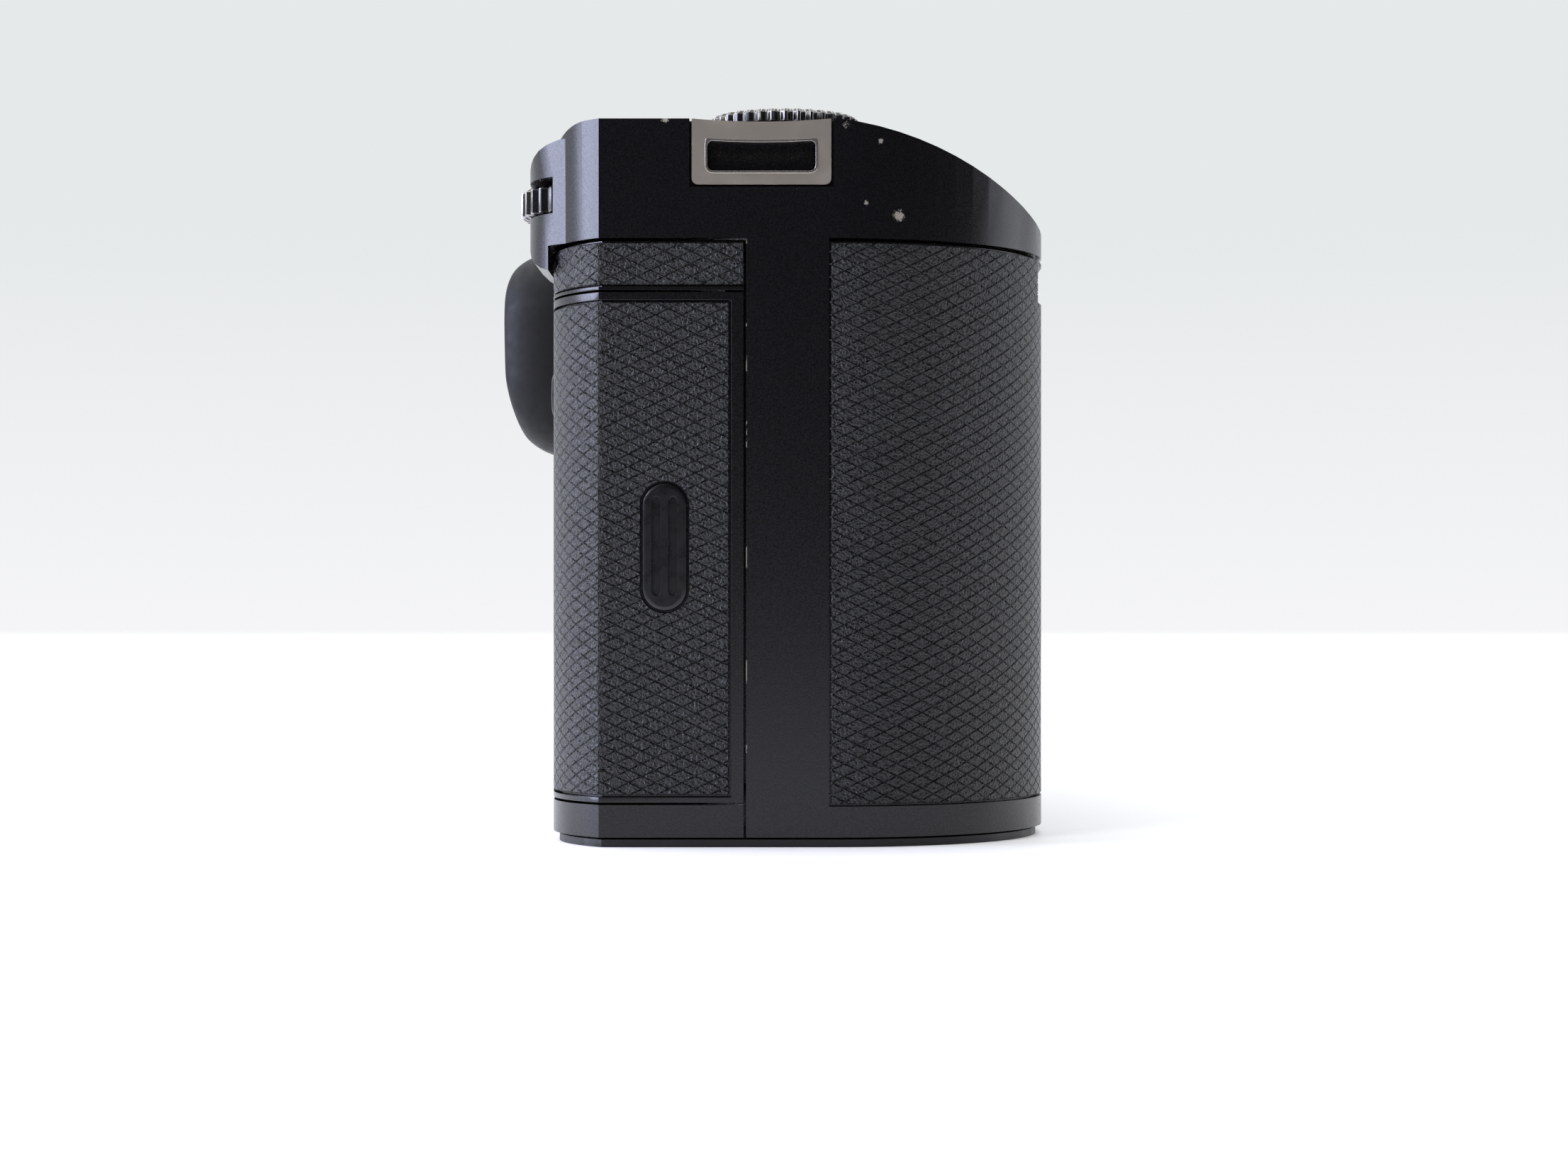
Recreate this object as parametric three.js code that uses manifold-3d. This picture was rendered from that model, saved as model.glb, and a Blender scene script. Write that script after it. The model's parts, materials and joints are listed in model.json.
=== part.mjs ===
// Rangefinder-style digital camera body, in millimetres.
// +Z is up, the lens side faces -Y, the back faces +Y and the hand grip is at -X.
// The origin is the middle of the base.

import * as THREE from 'three';
import { mergeVertices } from 'three/addons/utils/BufferGeometryUtils.js';
import Module from 'manifold-3d';

const wasm = await Module();
wasm.setup();

// ---------- Driving dimensions ----------

const gap = 0.3; // clearance between neighbouring pieces
const wall = 2.2; // metal shells
const skin = 0.7; // leather covering
const recess = skin + gap; // depth of the step that holds the leather
const far = 200; // length of a cutter that passes right through

// Outer body in plan and height.
const body = {
  half: 80.35,
  sideFront: -12.8,
  panel: -21.9,
  back: 24.1,
  seam: -1.8,
  bottom: 1.3,
  shellTop: 78.3,
  coverBottom: 78.6,
  top: 94,
};
const backCorner = { inward: 15, radius: 19.75 };
const farCorner = { x: 68.35 };
const grip = { front: -42.1, roundX: -53.35, innerX: -38, innerRadius: 8, fillet: 4 };
const leather = { bottom: 5.6, top: 78.0 };

// Top cover: the front slopes down over the grip on a large arc.
const slope = { y: -7.2, z: 39.4, radius: 55 };
const rearRound = 5;
const thumbRest = { left: -75.5, peak: -63, right: -47, back: 27.4, bottom: 75.4, top: 92.3 };
const wheelWindow = { left: -80, right: -60, front: 23.7 };

// Lens mount.
const lens = { x: 8, z: 43, throat: 33, ring: 38.5, boss: 40.5, bossFront: -31, flange: -33 };
const lockPin = { reach: 36, angle: -0.61, radius: 0.9, front: -34, back: -26 };
const releaseButton = { reach: 46.8, radius: 4.6, front: -29.5, back: -17 };

// Card door on the grip side, wrapping the back corner.
const door = { front: -1.5, end: -65, bottom: 5.8, top: 71.6, thickness: 2 };
const doorLip = { outer: -75.5, inner: -74, root: -77.5, front: -5, back: 0.9, bottom: 8, top: 76 };
const doorPad = { y: 8.7, width: 5.8, bottom: 30.5, top: 47 };

// Strap lugs, flush with the sides and the top plate.
const lug = { front: -12.8, back: 5.2, bottom: 85.5, thickness: 1.95 };
const lugWindow = { width: 14.3, bottom: 87.1, top: 91.3 };

// Dials and buttons on top.
const exposureDial = { x: -66.5, y: -6.7, radius: 10, top: 96.2 };
const speedDial = { x: -38.5, y: -4, radius: 10.5, top: 96.3 };
const dialBottom = body.top + gap;
const release = { x: -56, y: -29.2, z: 89.65, tilt: 0.419 };
const rearDial = { x: -60, y: 17.9, radius: 11, bottom: 83.1, top: 87.3 };
const frontDial = { x: -52, y: -31.9, radius: 9.8, bottom: 72.9, top: 76.9 };
const shoe = { x: lens.x, y: 2, length: 18, top: 96.5 };

// Monitor on the back.
const monitor = { left: -31, right: 41, bottom: 7.5, top: 63, front: 18.8, back: 23.8 };
const bracket = { side: 2.3, front: 15.4, back: 17.2, bottom: 5.5 };
const pocket = { side: 3, bottom: 4.6, top: 64.6, floor: 14.8 };

// Eyepiece at the far corner of the back.
const eye = { x: 62, z: 75.2, halfWidth: 17, halfHeight: 18, back: 42.1 };

// Battery, its door and the base.
const battery = { left: -69, right: -44.5, front: -29, back: -8, bottom: 3.4, top: 57 };
const batteryDoor = { left: -69.6, right: -42.5, front: -30, back: -6, bottom: 0.3, top: 2.3 };
const latch = { left: -39, right: -33.5, front: -16, back: -8, travel: 3 };
const socket = { radius: 5.5, bore: 3.175, top: 8 };

const releaseX = lens.x + releaseButton.reach * Math.cos(lockPin.angle);
const releaseZ = lens.z + releaseButton.reach * Math.sin(lockPin.angle);
const focus = { x: 66, z: 30, radius: 5.5, shaft: 2 };

const topButtons = [
  { name: 'fn_button', x: -52.5, y: -10 },
  { name: 'drive_button', x: -52.5, y: 5.5 },
];
const diopter = { y: 11.8, z: 84, radius: 4.2 };

const buttons = [
  { name: 'play_button', x: 18, z: 71.5 },
  { name: 'delete_button', x: 30, z: 71.5 },
  { name: 'q_button', x: -56, z: 60 },
  { name: 'menu_button', x: -44, z: 46 },
  { name: 'disp_button', x: -44, z: 32 },
  { name: 'ae_lock_button', x: -42.5, z: 84.5 },
  { name: 'af_button', x: -33, z: 84.5 },
];
const buttonRadius = 3;
const stick = { x: -44, z: 65, radius: 3.2, clear: 4.6, pivot: 18.5 };
const ports = { y: 1.5, end: 15.5, upper: [47.5, 69], lower: [13, 43.5] };
const snout = { halfWidth: 10, halfHeight: 9 };

const cardRows = [3.2, 8.5];

// ---------- Finishes ----------

const finish = (color, roughness, metalness) =>
  new THREE.MeshStandardMaterial({ color, roughness, metalness });
const paint = () => finish(0x17181b, 0.45, 0.35);
const blackMetal = () => finish(0x101113, 0.35, 0.7);
const grain = () => finish(0x222223, 0.75, 0);
const rubber = () => finish(0x151515, 0.9, 0);
const nickel = () => finish(0xb9b6ae, 0.3, 1);
const steel = () => finish(0xc4c5c6, 0.25, 1);
const gold = () => finish(0xc9a34e, 0.3, 1);
const plastic = () => finish(0x1a1b1d, 0.6, 0);
const glass = () => finish(0x0b0f14, 0.05, 0);
const board = () => finish(0x1d4a2c, 0.6, 0.1);

// ---------- Solids ----------

// A closed three.js geometry as a solid that can be joined and cut.
function solid(geometry) {
  const bare = geometry.clone();
  bare.deleteAttribute('normal');
  bare.deleteAttribute('uv');
  const merged = mergeVertices(bare, 1e-5);
  const vertProperties = merged.attributes.position.array;
  const triVerts = new Uint32Array(merged.index.array);
  return new wasm.Manifold(new wasm.Mesh({ numProp: 3, vertProperties, triVerts }));
}

function piece(name, shape, material) {
  const data = shape.getMesh();
  const geometry = new THREE.BufferGeometry();
  geometry.setAttribute('position', new THREE.BufferAttribute(data.vertProperties, 3));
  geometry.setIndex(new THREE.BufferAttribute(data.triVerts, 1));
  geometry.computeVertexNormals();
  const mesh = new THREE.Mesh(geometry, material);
  mesh.name = name;
  return mesh;
}

const join = (first, ...others) => others.reduce((sum, other) => sum.add(other), first);
const cut = (first, ...others) => others.reduce((rest, other) => rest.subtract(other), first);

function block([x0, x1], [y0, y1], [z0, z1]) {
  const geometry = new THREE.BoxGeometry(x1 - x0, y1 - y0, z1 - z0);
  return solid(geometry.translate((x0 + x1) / 2, (y0 + y1) / 2, (z0 + z1) / 2));
}

function prism(shape, z0, z1, segments = 8) {
  const options = { depth: z1 - z0, bevelEnabled: false, curveSegments: segments };
  return solid(new THREE.ExtrudeGeometry(shape, options).translate(0, 0, z0));
}

// A shape drawn in Y and Z, extruded along X.
function prismX(shape, x0, x1, segments = 8) {
  const turn = new THREE.Matrix4().makeBasis(
    new THREE.Vector3(0, 1, 0),
    new THREE.Vector3(0, 0, 1),
    new THREE.Vector3(1, 0, 0),
  );
  const options = { depth: x1 - x0, bevelEnabled: false, curveSegments: segments };
  return solid(new THREE.ExtrudeGeometry(shape, options).applyMatrix4(turn).translate(x0, 0, 0));
}

// A shape drawn in X and Z, extruded along Y.
function prismY(shape, y0, y1, segments = 8) {
  const options = { depth: y1 - y0, bevelEnabled: false, curveSegments: segments };
  const geometry = new THREE.ExtrudeGeometry(shape, options);
  return solid(geometry.rotateX(Math.PI / 2).translate(0, y1, 0));
}

function rodY(radius, y0, y1, x = 0, z = 0, sides = 24) {
  const geometry = new THREE.CylinderGeometry(radius, radius, y1 - y0, sides);
  return solid(geometry.translate(x, (y0 + y1) / 2, z));
}

function rodZ(radius, z0, z1, x = 0, y = 0, sides = 24) {
  const geometry = new THREE.CylinderGeometry(radius, radius, z1 - z0, sides);
  return solid(geometry.rotateX(Math.PI / 2).translate(x, y, (z0 + z1) / 2));
}

function rodX(radius, x0, x1, y = 0, z = 0, sides = 24) {
  const geometry = new THREE.CylinderGeometry(radius, radius, x1 - x0, sides);
  return solid(geometry.rotateZ(Math.PI / 2).translate((x0 + x1) / 2, y, z));
}

function roundedRectangle(halfWidth, halfHeight, radius, x = 0, y = 0) {
  const shape = new THREE.Shape();
  const quarter = Math.PI / 2;
  shape.absarc(x + halfWidth - radius, y + halfHeight - radius, radius, 0, quarter);
  shape.absarc(x - halfWidth + radius, y + halfHeight - radius, radius, quarter, 2 * quarter);
  shape.absarc(x - halfWidth + radius, y - halfHeight + radius, radius, 2 * quarter, 3 * quarter);
  shape.absarc(x + halfWidth - radius, y - halfHeight + radius, radius, 3 * quarter, 4 * quarter);
  shape.closePath();
  return shape;
}

// The rim of a knurled wheel: one ridge and one groove per step.
function knurled(radius, depth, ridges) {
  const points = [];
  for (let i = 0; i < 2 * ridges; i += 1) {
    const reach = i % 2 === 0 ? radius : radius - depth;
    const angle = (i * Math.PI) / ridges;
    points.push(new THREE.Vector2(reach * Math.cos(angle), reach * Math.sin(angle)));
  }
  return new THREE.Shape(points);
}

// ---------- Body outline and cover profile ----------

// The plan of the body, moved inwards by `inset`.
function outline(inset = 0) {
  const side = body.half - inset;
  const cornerX = body.half - backCorner.inward;
  const cornerY = body.back - backCorner.radius;
  const cornerRadius = backCorner.radius - inset;
  const crease = Math.acos((side - cornerX) / cornerRadius);
  const gripWidth = body.half + grip.roundX - inset;
  const gripDepth = body.sideFront - grip.front - inset;
  const innerX = grip.innerX - grip.innerRadius;
  const farWidth = body.half - farCorner.x - inset;
  const farDepth = body.sideFront - body.panel - inset;
  const quarter = Math.PI / 2;
  const shape = new THREE.Shape();
  shape.absellipse(grip.roundX, body.sideFront, gripWidth, gripDepth, 2 * quarter, 3 * quarter);
  shape.absarc(innerX, grip.front + grip.innerRadius, grip.innerRadius - inset, 3 * quarter, 4 * quarter);
  shape.absarc(grip.innerX + grip.fillet, body.panel - grip.fillet, grip.fillet + inset, 2 * quarter, quarter, true);
  shape.absellipse(farCorner.x, body.sideFront, farWidth, farDepth, 3 * quarter, 4 * quarter);
  shape.absarc(cornerX, cornerY, cornerRadius, crease, quarter);
  shape.absarc(-cornerX, cornerY, cornerRadius, quarter, 2 * quarter - crease);
  shape.closePath();
  return shape;
}

// The wall between two insets of the outline.
const ring = (outer, inner, z0, z1) =>
  prism(outline(outer), z0, z1).subtract(prism(outline(inner), z0 - 1, z1 + 1));

// The top cover seen from the side, moved inwards by `inset`.
function coverProfile(inset = 0) {
  const radius = slope.radius - inset;
  const top = body.top - inset;
  const corner = rearRound - inset;
  const start = Math.acos((grip.front - 8 - slope.y) / radius);
  const end = Math.PI - Math.asin((top - slope.z) / radius);
  const shape = new THREE.Shape();
  shape.moveTo(grip.front - 8, body.coverBottom - 20);
  shape.absarc(slope.y, slope.z, radius, start, end, true);
  shape.absarc(body.back - rearRound, body.top - rearRound, corner, Math.PI / 2, 0, true);
  shape.lineTo(body.back - inset, body.coverBottom - 20);
  shape.closePath();
  return shape;
}

const throughPanel = (radius, x, z) => rodY(radius, body.panel - 20, body.panel + 10, x, z);

// ---------- Shells ----------

function lensBoss() {
  const tube = rodY(lens.boss, lens.bossFront, body.panel + 3, lens.x, lens.z, 40);
  return tube.subtract(rodY(lens.throat + 0.6, lens.bossFront - 1, body.panel + 4, lens.x, lens.z, 40));
}

// A rib behind the front edge of the card door, which keeps light out of the seam.
function seamRib() {
  const { outer, inner, root, front, back, bottom, top } = doorLip;
  return join(
    block([outer, inner], [front, back], [bottom, top]),
    block([root, inner], [front, body.seam - gap], [bottom, top]),
  );
}

function frontShell() {
  const inner = recess + wall;
  const frontHalf = block([-far, far], [-far, body.seam], [0, body.top]);
  const leatherStep = ring(-1, recess, leather.bottom - gap, body.top)
    .intersect(block([-far, far], [-far, body.sideFront + gap], [0, body.top]));
  const shell = ring(0, inner, body.bottom, body.shellTop).intersect(frontHalf);
  const mouth = rodY(lens.throat + 0.6, body.panel - 5, body.panel + 5, lens.x, lens.z, 40);
  return cut(
    join(cut(shell, leatherStep, mouth), lensBoss(), seamRib()),
    rodY(
      lockPin.radius + gap, lockPin.front, body.panel + 5,
      lens.x + lockPin.reach * Math.cos(lockPin.angle), lens.z + lockPin.reach * Math.sin(lockPin.angle), 12,
    ),
    throughPanel(releaseButton.radius + gap, releaseX, releaseZ),
    throughPanel(focus.shaft + gap, focus.x, focus.z),
    rodZ(frontDial.radius + gap, frontDial.bottom - gap, frontDial.top + gap, frontDial.x, frontDial.y),
  );
}

function frontLeather(x0, x1) {
  const clear = rodY(lens.boss + gap, -far, body.panel + 10, lens.x, lens.z, 40);
  const skinRing = ring(0, skin, leather.bottom, leather.top);
  return skinRing.intersect(block([x0, x1], [-far, body.sideFront], [0, body.top])).subtract(clear);
}

function gripLeather() {
  const window = block(
    [frontDial.x - 8, frontDial.x + 8],
    [-far, frontDial.y],
    [frontDial.bottom - 2 * gap, frontDial.top + 2 * gap],
  );
  return frontLeather(-far, lens.x).subtract(window);
}

function farLeather() {
  return cut(
    frontLeather(lens.x, far),
    throughPanel(releaseButton.radius + 2 * gap, releaseX, releaseZ),
    throughPanel(focus.radius + 2 * gap, focus.x, focus.z),
  );
}

const buttonHoles = buttons.map(({ x, z }) => rodY(buttonRadius + gap, 15, 30, x, z, 16));

function portOpening([z0, z1]) {
  return block([body.half - 5, body.half + 5], [ports.y - 1.3, ports.end + gap], [z0 - gap, z1 + gap]);
}

const snoutOpening = () => block(
  [eye.x - snout.halfWidth - gap, eye.x + snout.halfWidth + gap],
  [body.back - 8, body.back + 1],
  [eye.z - snout.halfHeight - gap, eye.z + snout.halfHeight + gap],
);

function rearShell() {
  const backHalf = block([-far, far], [body.seam + gap, far], [0, body.top]);
  const shell = ring(0, wall, body.bottom, body.shellTop);
  const tray = block(
    [monitor.left - pocket.side - 1.8, monitor.right + pocket.side + 1.8],
    [pocket.floor - 1.8, body.back],
    [pocket.bottom - 1.7, pocket.top + 1.8],
  );
  const trayHollow = block(
    [monitor.left - pocket.side, monitor.right + pocket.side],
    [pocket.floor, body.back + 1],
    [pocket.bottom, pocket.top],
  );
  const doorway = block([-far, door.end + 1.3], [-10, far], [door.bottom - gap, door.top + gap]);
  const strip = ring(-1, recess, 72.3, body.top)
    .intersect(block([-far, -59.7], [-10, far], [0, body.top]));
  return cut(
    join(shell.intersect(backHalf), tray),
    trayHollow,
    doorway,
    strip,
    snoutOpening(),
    portOpening(ports.upper),
    portOpening(ports.lower),
    rodY(stick.clear, 15, 30, stick.x, stick.z, 16),
    ...buttonHoles,
  );
}

function rearLeatherStrip() {
  const area = block([-far, -60], [body.seam + gap, far], [72.6, leather.top]);
  return ring(0, skin, 72.6, leather.top).intersect(area);
}

function lugCut(side) {
  const inner = body.half - lug.thickness - gap;
  const frame = block(
    [inner, far],
    [lug.front - gap, lug.back + gap],
    [lug.bottom - gap, body.top + 1],
  );
  const hollow = block([inner - 3.9, inner + 1], [-11.2, 3.6], [86.8, 91.6]);
  const exit = block([inner - 1.2, inner + 1], [-11.2, 3.6], [86.8, body.top + 1]);
  const all = join(frame, hollow, exit);
  return side > 0 ? all : all.mirror([1, 0, 0]);
}

function topCover() {
  const outer = prism(outline(0), body.coverBottom, body.top + 1).intersect(prismX(coverProfile(0), -far, far));
  const hollow = prism(outline(wall), body.coverBottom - 5, body.top)
    .intersect(prismX(coverProfile(wall), -far, far));
  const { left, peak, right, back, bottom, top } = thumbRest;
  const hang = body.back + gap;
  const restPlan = new THREE.Shape();
  restPlan.moveTo(left, 15);
  restPlan.lineTo(left, 20.6);
  restPlan.bezierCurveTo(left + 4, 25.4, peak - 6, back, peak, back);
  restPlan.bezierCurveTo(peak + 7, back, right - 5, hang + 0.2, right, body.back - 0.6);
  restPlan.lineTo(right, 15);
  restPlan.closePath();
  const restSide = new THREE.Shape();
  restSide.moveTo(15, body.coverBottom);
  restSide.lineTo(hang, body.coverBottom);
  restSide.lineTo(hang, bottom);
  restSide.quadraticCurveTo(back + 0.1, bottom + 0.8, back + 0.1, bottom + 5);
  restSide.lineTo(back + 0.1, top - 4);
  restSide.quadraticCurveTo(back, top - 0.6, hang - 1.5, top);
  restSide.lineTo(15, top);
  restSide.closePath();
  const rest = prism(restPlan, bottom, body.top).intersect(prismX(restSide, -far, far, 5));
  const lugBlock = block([72, body.half - 0.5], [-14.5, 6.9], [84, body.top - 0.2]);
  const shoePad = block([shoe.x - 13, shoe.x + 13], [shoe.y - 11, shoe.y + 13], [88.6, body.top - 0.2]);
  const shoeCut = block([shoe.x - 11.2, shoe.x + 11.2], [shoe.y - 9.3, shoe.y + 9.3], [90.9, far]);
  const bossCut = rodY(lens.boss + gap, -far, body.panel + 4, lens.x, lens.z, 40);
  const wheelRoom = rodZ(
    rearDial.radius + 0.4, rearDial.bottom - gap, rearDial.top + gap, rearDial.x, rearDial.y, 32,
  );
  const wheelSlot = block(
    [wheelWindow.left, wheelWindow.right],
    [wheelWindow.front, far],
    [rearDial.bottom - gap, rearDial.top + gap],
  );
  const seat = tilted(rodZ(10.4, -1, 6, 0, 0, 28));
  const stem = tilted(rodZ(5, -12, 6, 0, 0, 20));
  const walls = join(outer.subtract(hollow), rest.subtract(hollow), lugBlock, lugBlock.mirror([1, 0, 0]), shoePad);
  return cut(
    walls,
    shoeCut,
    bossCut,
    wheelRoom,
    wheelSlot,
    seat,
    stem,
    lugCut(1),
    lugCut(-1),
    snoutOpening(),
    rodZ(3.3, 85, 100, exposureDial.x, exposureDial.y, 16),
    rodZ(4.5, 85, 100, speedDial.x, speedDial.y, 16),
    ...topButtons.map(({ x, y }) => rodZ(2.9, 85, 100, x, y, 16)),
    rodX(4.5, 78, 90, diopter.y, diopter.z, 16),
    rodX(1.5, 70, 90, diopter.y, diopter.z, 10),
    ...buttonHoles,
  );
}

// Moves a solid from the shutter release's own axis to its place on the slope.
function tilted(shape) {
  const degrees = THREE.MathUtils.radToDeg(release.tilt);
  return shape.rotate([degrees, 0, 0]).translate([release.x, release.y, release.z]);
}

function basePlate() {
  const flange = prism(outline(0.8), 0, 1);
  const plug = prism(outline(recess + wall + gap), 0.9, 2.6);
  const socketBoss = rodZ(8, 1, 7.4, lens.x, 0, 24);
  const doorOpening = block(
    [batteryDoor.left - 1.2, batteryDoor.right + gap],
    [batteryDoor.front - gap, batteryDoor.back + gap],
    [-1, 4],
  );
  const latchOpening = block(
    [latch.left - gap, latch.right + gap],
    [latch.front - gap, latch.back + latch.travel + gap],
    [-1, 4],
  );
  return cut(join(flange, plug, socketBoss), doorOpening, latchOpening, rodZ(socket.radius + gap, -1, 9, lens.x, 0, 20));
}

// ---------- Card door ----------

function cardDoor() {
  const shell = ring(0, door.thickness, door.bottom, door.top)
    .intersect(block([-far, door.end], [door.front, far], [0, body.top]));
  const step = ring(-1, recess, 6.5, 70.6).intersect(block([-far, -66.2], [door.front + 1.6, far], [0, body.top]));
  return shell.subtract(step);
}

function padOutline(grow = 0) {
  const halfWidth = doorPad.width / 2 + grow;
  const halfHeight = (doorPad.top - doorPad.bottom) / 2 + grow;
  const middle = (doorPad.top + doorPad.bottom) / 2;
  return roundedRectangle(halfWidth, halfHeight, halfWidth - 0.01, doorPad.y, middle);
}

function cardDoorLeather() {
  const area = block([-far, -66.5], [door.front + 1.9, far], [6.8, 70.3]);
  return ring(0, skin, 6.8, 70.3)
    .intersect(area)
    .subtract(prismX(padOutline(gap), -far, -70));
}

function cardDoorPad() {
  const base = prismX(padOutline(), -body.half, -body.half + skin);
  const groove = (y) => block(
    [-body.half - 1, -body.half + 0.35],
    [y - 0.45, y + 0.45],
    [doorPad.bottom + 2.5, doorPad.top - 2.5],
  );
  return cut(base, groove(doorPad.y - 1), groove(doorPad.y + 1));
}

function strapLug(side) {
  const outer = body.half;
  const inner = outer - lug.thickness;
  const frame = block([inner, outer], [lug.front, lug.back], [lug.bottom, body.top]);
  const middle = (lug.front + lug.back) / 2;
  const height = (lugWindow.top - lugWindow.bottom) / 2;
  const hole = roundedRectangle(lugWindow.width / 2, height, 1, middle, lugWindow.bottom + height);
  const all = frame.subtract(prismX(hole, inner - 1, outer + 1, 3));
  return side > 0 ? all : all.mirror([1, 0, 0]);
}

// ---------- Lens mount and the inside ----------

function lensMountRing() {
  const plate = rodY(lens.ring, lens.flange, lens.bossFront - gap, lens.x, lens.z, 40);
  const throat = rodY(lens.throat, lens.flange - 1, lens.bossFront + 1, lens.x, lens.z, 40);
  const pinX = lens.x + lockPin.reach * Math.cos(lockPin.angle);
  const pinZ = lens.z + lockPin.reach * Math.sin(lockPin.angle);
  return cut(plate, throat, rodY(lockPin.radius + gap, lens.flange - 1, lens.bossFront + 1, pinX, pinZ, 12));
}

// The light baffle in the throat, with the picture window.
function lensBaffle() {
  const disc = rodY(lens.throat + 0.3, -20.5, -17.5, lens.x, lens.z, 40);
  return disc.subtract(block([lens.x - 24, lens.x + 24], [-21, -17], [lens.z - 19, lens.z + 19]));
}

function mountContacts() {
  const bar = block([lens.x - 15, lens.x + 15], [-30, -22], [lens.z - 35, lens.z - 29]);
  return bar.intersect(rodY(lens.throat + 0.3, -31, -21, lens.x, lens.z, 40));
}

function shutterFrame() {
  const frame = block([lens.x - 34, lens.x + 34], [-12, -8.5], [6, 66]);
  const window = block([lens.x - 23, lens.x + 23], [-13, -7], [25.5, 60.5]);
  const track = block([lens.x - 27, lens.x + 27], [-10.7, -9.8], [7.5, 63]);
  return cut(frame, window, track);
}

function sensorUnit() {
  const plate = block([lens.x - 32, lens.x + 32], [-5.5, -1], [lens.z - 27, lens.z + 20]);
  const cover = block([lens.x - 24, lens.x + 24], [-6.3, -5], [lens.z - 18.5, lens.z + 18.5]);
  return join(plate, cover);
}

function cardSlotUnit() {
  const slot = (y) => block([-80, -43.2], [y, y + 2.7], [24.7, 49.3]);
  return cut(block([-73, -41.5], [1.2, 13.2], [20, 55]), slot(cardRows[0] - gap), slot(cardRows[1] - gap));
}

const card = (y) => block([-75.5, -43.5], [y, y + 2.1], [25, 49]);

function mainBoard() {
  const plate = block([-38, 70], [4, 5.6], [8, 56]);
  const upperPort = block([69, 77.4], [4, 12.5], [49, 55]);
  const lowerPort = block([69, 77.4], [4, 12.5], [16, 38]);
  return join(plate, upperPort, lowerPort);
}

// A wheel on an upright pin, with the pin's own bracket.
const wheelBody = (dial, ridges) =>
  prism(knurled(dial.radius, 0.7, ridges), dial.bottom, dial.top)
    .translate([dial.x, dial.y, 0])
    .subtract(rodZ(1.5, dial.bottom - 1, dial.top + 1, dial.x, dial.y, 12));

const wheelBracket = (dial, pinTop, [x0, x1], [y0, y1]) => join(
  block([x0, x1], [y0, y1], [dial.bottom - 2, dial.bottom - 0.6]),
  rodZ(1.2, dial.bottom - 1, pinTop, dial.x, dial.y, 12),
);

function eyepieceHousing() {
  const box = block([eye.x - 10, eye.x + 10], [-8, 20.2], [eye.z - 12, eye.z + 12]);
  const nose = block(
    [eye.x - snout.halfWidth, eye.x + snout.halfWidth],
    [20, 26],
    [eye.z - snout.halfHeight, eye.z + snout.halfHeight],
  );
  const tunnel = prismY(roundedRectangle(8.6, 7.6, 2, eye.x, eye.z), -6.5, 27, 2);
  return join(box, nose).subtract(tunnel);
}

function eyecup() {
  const cup = prismY(roundedRectangle(eye.halfWidth, eye.halfHeight, 13, eye.x, eye.z), body.back + gap, eye.back, 5);
  const mouth = prismY(roundedRectangle(13, 13.5, 10, eye.x, eye.z), 31, eye.back + 1, 5);
  const seat = block([eye.x - 10.3, eye.x + 10.3], [body.back - 1, 32], [eye.z - 9.3, eye.z + 9.3]);
  return cut(cup, mouth, seat);
}

function hotShoe() {
  const rail = new THREE.Shape([
    new THREE.Vector2(-10.9, 91.2),
    new THREE.Vector2(10.9, 91.2),
    new THREE.Vector2(10.9, shoe.top),
    new THREE.Vector2(6.3, shoe.top),
    new THREE.Vector2(6.3, 95),
    new THREE.Vector2(9.3, 95),
    new THREE.Vector2(9.3, 92.1),
    new THREE.Vector2(-9.3, 92.1),
    new THREE.Vector2(-9.3, 95),
    new THREE.Vector2(-6.3, 95),
    new THREE.Vector2(-6.3, shoe.top),
    new THREE.Vector2(-10.9, shoe.top),
  ]);
  const half = shoe.length / 2;
  return prismY(rail, shoe.y - half, shoe.y + half).translate([shoe.x, 0, 0]);
}

// ---------- Monitor ----------

function monitorBracket() {
  const left = monitor.left - bracket.side;
  const right = monitor.right + bracket.side;
  const plate = block([left, right], [bracket.front, bracket.back], [bracket.bottom, monitor.top]);
  const window = block([left + 14, right - 14], [bracket.front - 1, bracket.back + 1], [16, 53]);
  const arm = ([x0, x1], z0, z1) => block([x0, x1], [bracket.back - 0.5, 23.2], [z0, z1]);
  const leftArm = [left, monitor.left - 0.5];
  const rightArm = [monitor.right + 0.5, right];
  return join(
    plate.subtract(window),
    arm(leftArm, 57.5, monitor.top),
    arm(rightArm, 57.5, monitor.top),
    arm(leftArm, bracket.bottom, 10),
    arm(rightArm, bracket.bottom, 10),
  );
}

function monitorPanel() {
  const middleX = (monitor.left + monitor.right) / 2;
  const middleZ = (monitor.bottom + monitor.top) / 2;
  const plan = roundedRectangle(
    (monitor.right - monitor.left) / 2, (monitor.top - monitor.bottom) / 2, 2.5, middleX, middleZ,
  );
  const panel = prismY(plan, monitor.front, monitor.back, 4);
  return panel.subtract(block([-29.8, 39.8], [22.7, 25], [9.2, 58.8]));
}

// ---------- Base pieces ----------

function batteryDoorPlate() {
  const { left, right, front, back, bottom, top } = batteryDoor;
  return block([left, right], [front, back], [bottom, top]);
}

function latchSlide() {
  const plate = block([latch.left, latch.right], [latch.front, latch.back], [0.3, 2.3]);
  const groove = (y) => block([latch.left + 1, latch.right - 1], [y, y + 0.8], [0, 0.6]);
  return cut(plate, groove(latch.front + 2), groove(latch.front + 4), groove(latch.front + 6));
}

const tripodSocket = () => rodZ(socket.radius, 0.3, socket.top, lens.x, 0, 20)
  .subtract(rodZ(socket.bore, -1, socket.top + 1, lens.x, 0, 20));

// ---------- Controls, each about its own axis ----------

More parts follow.
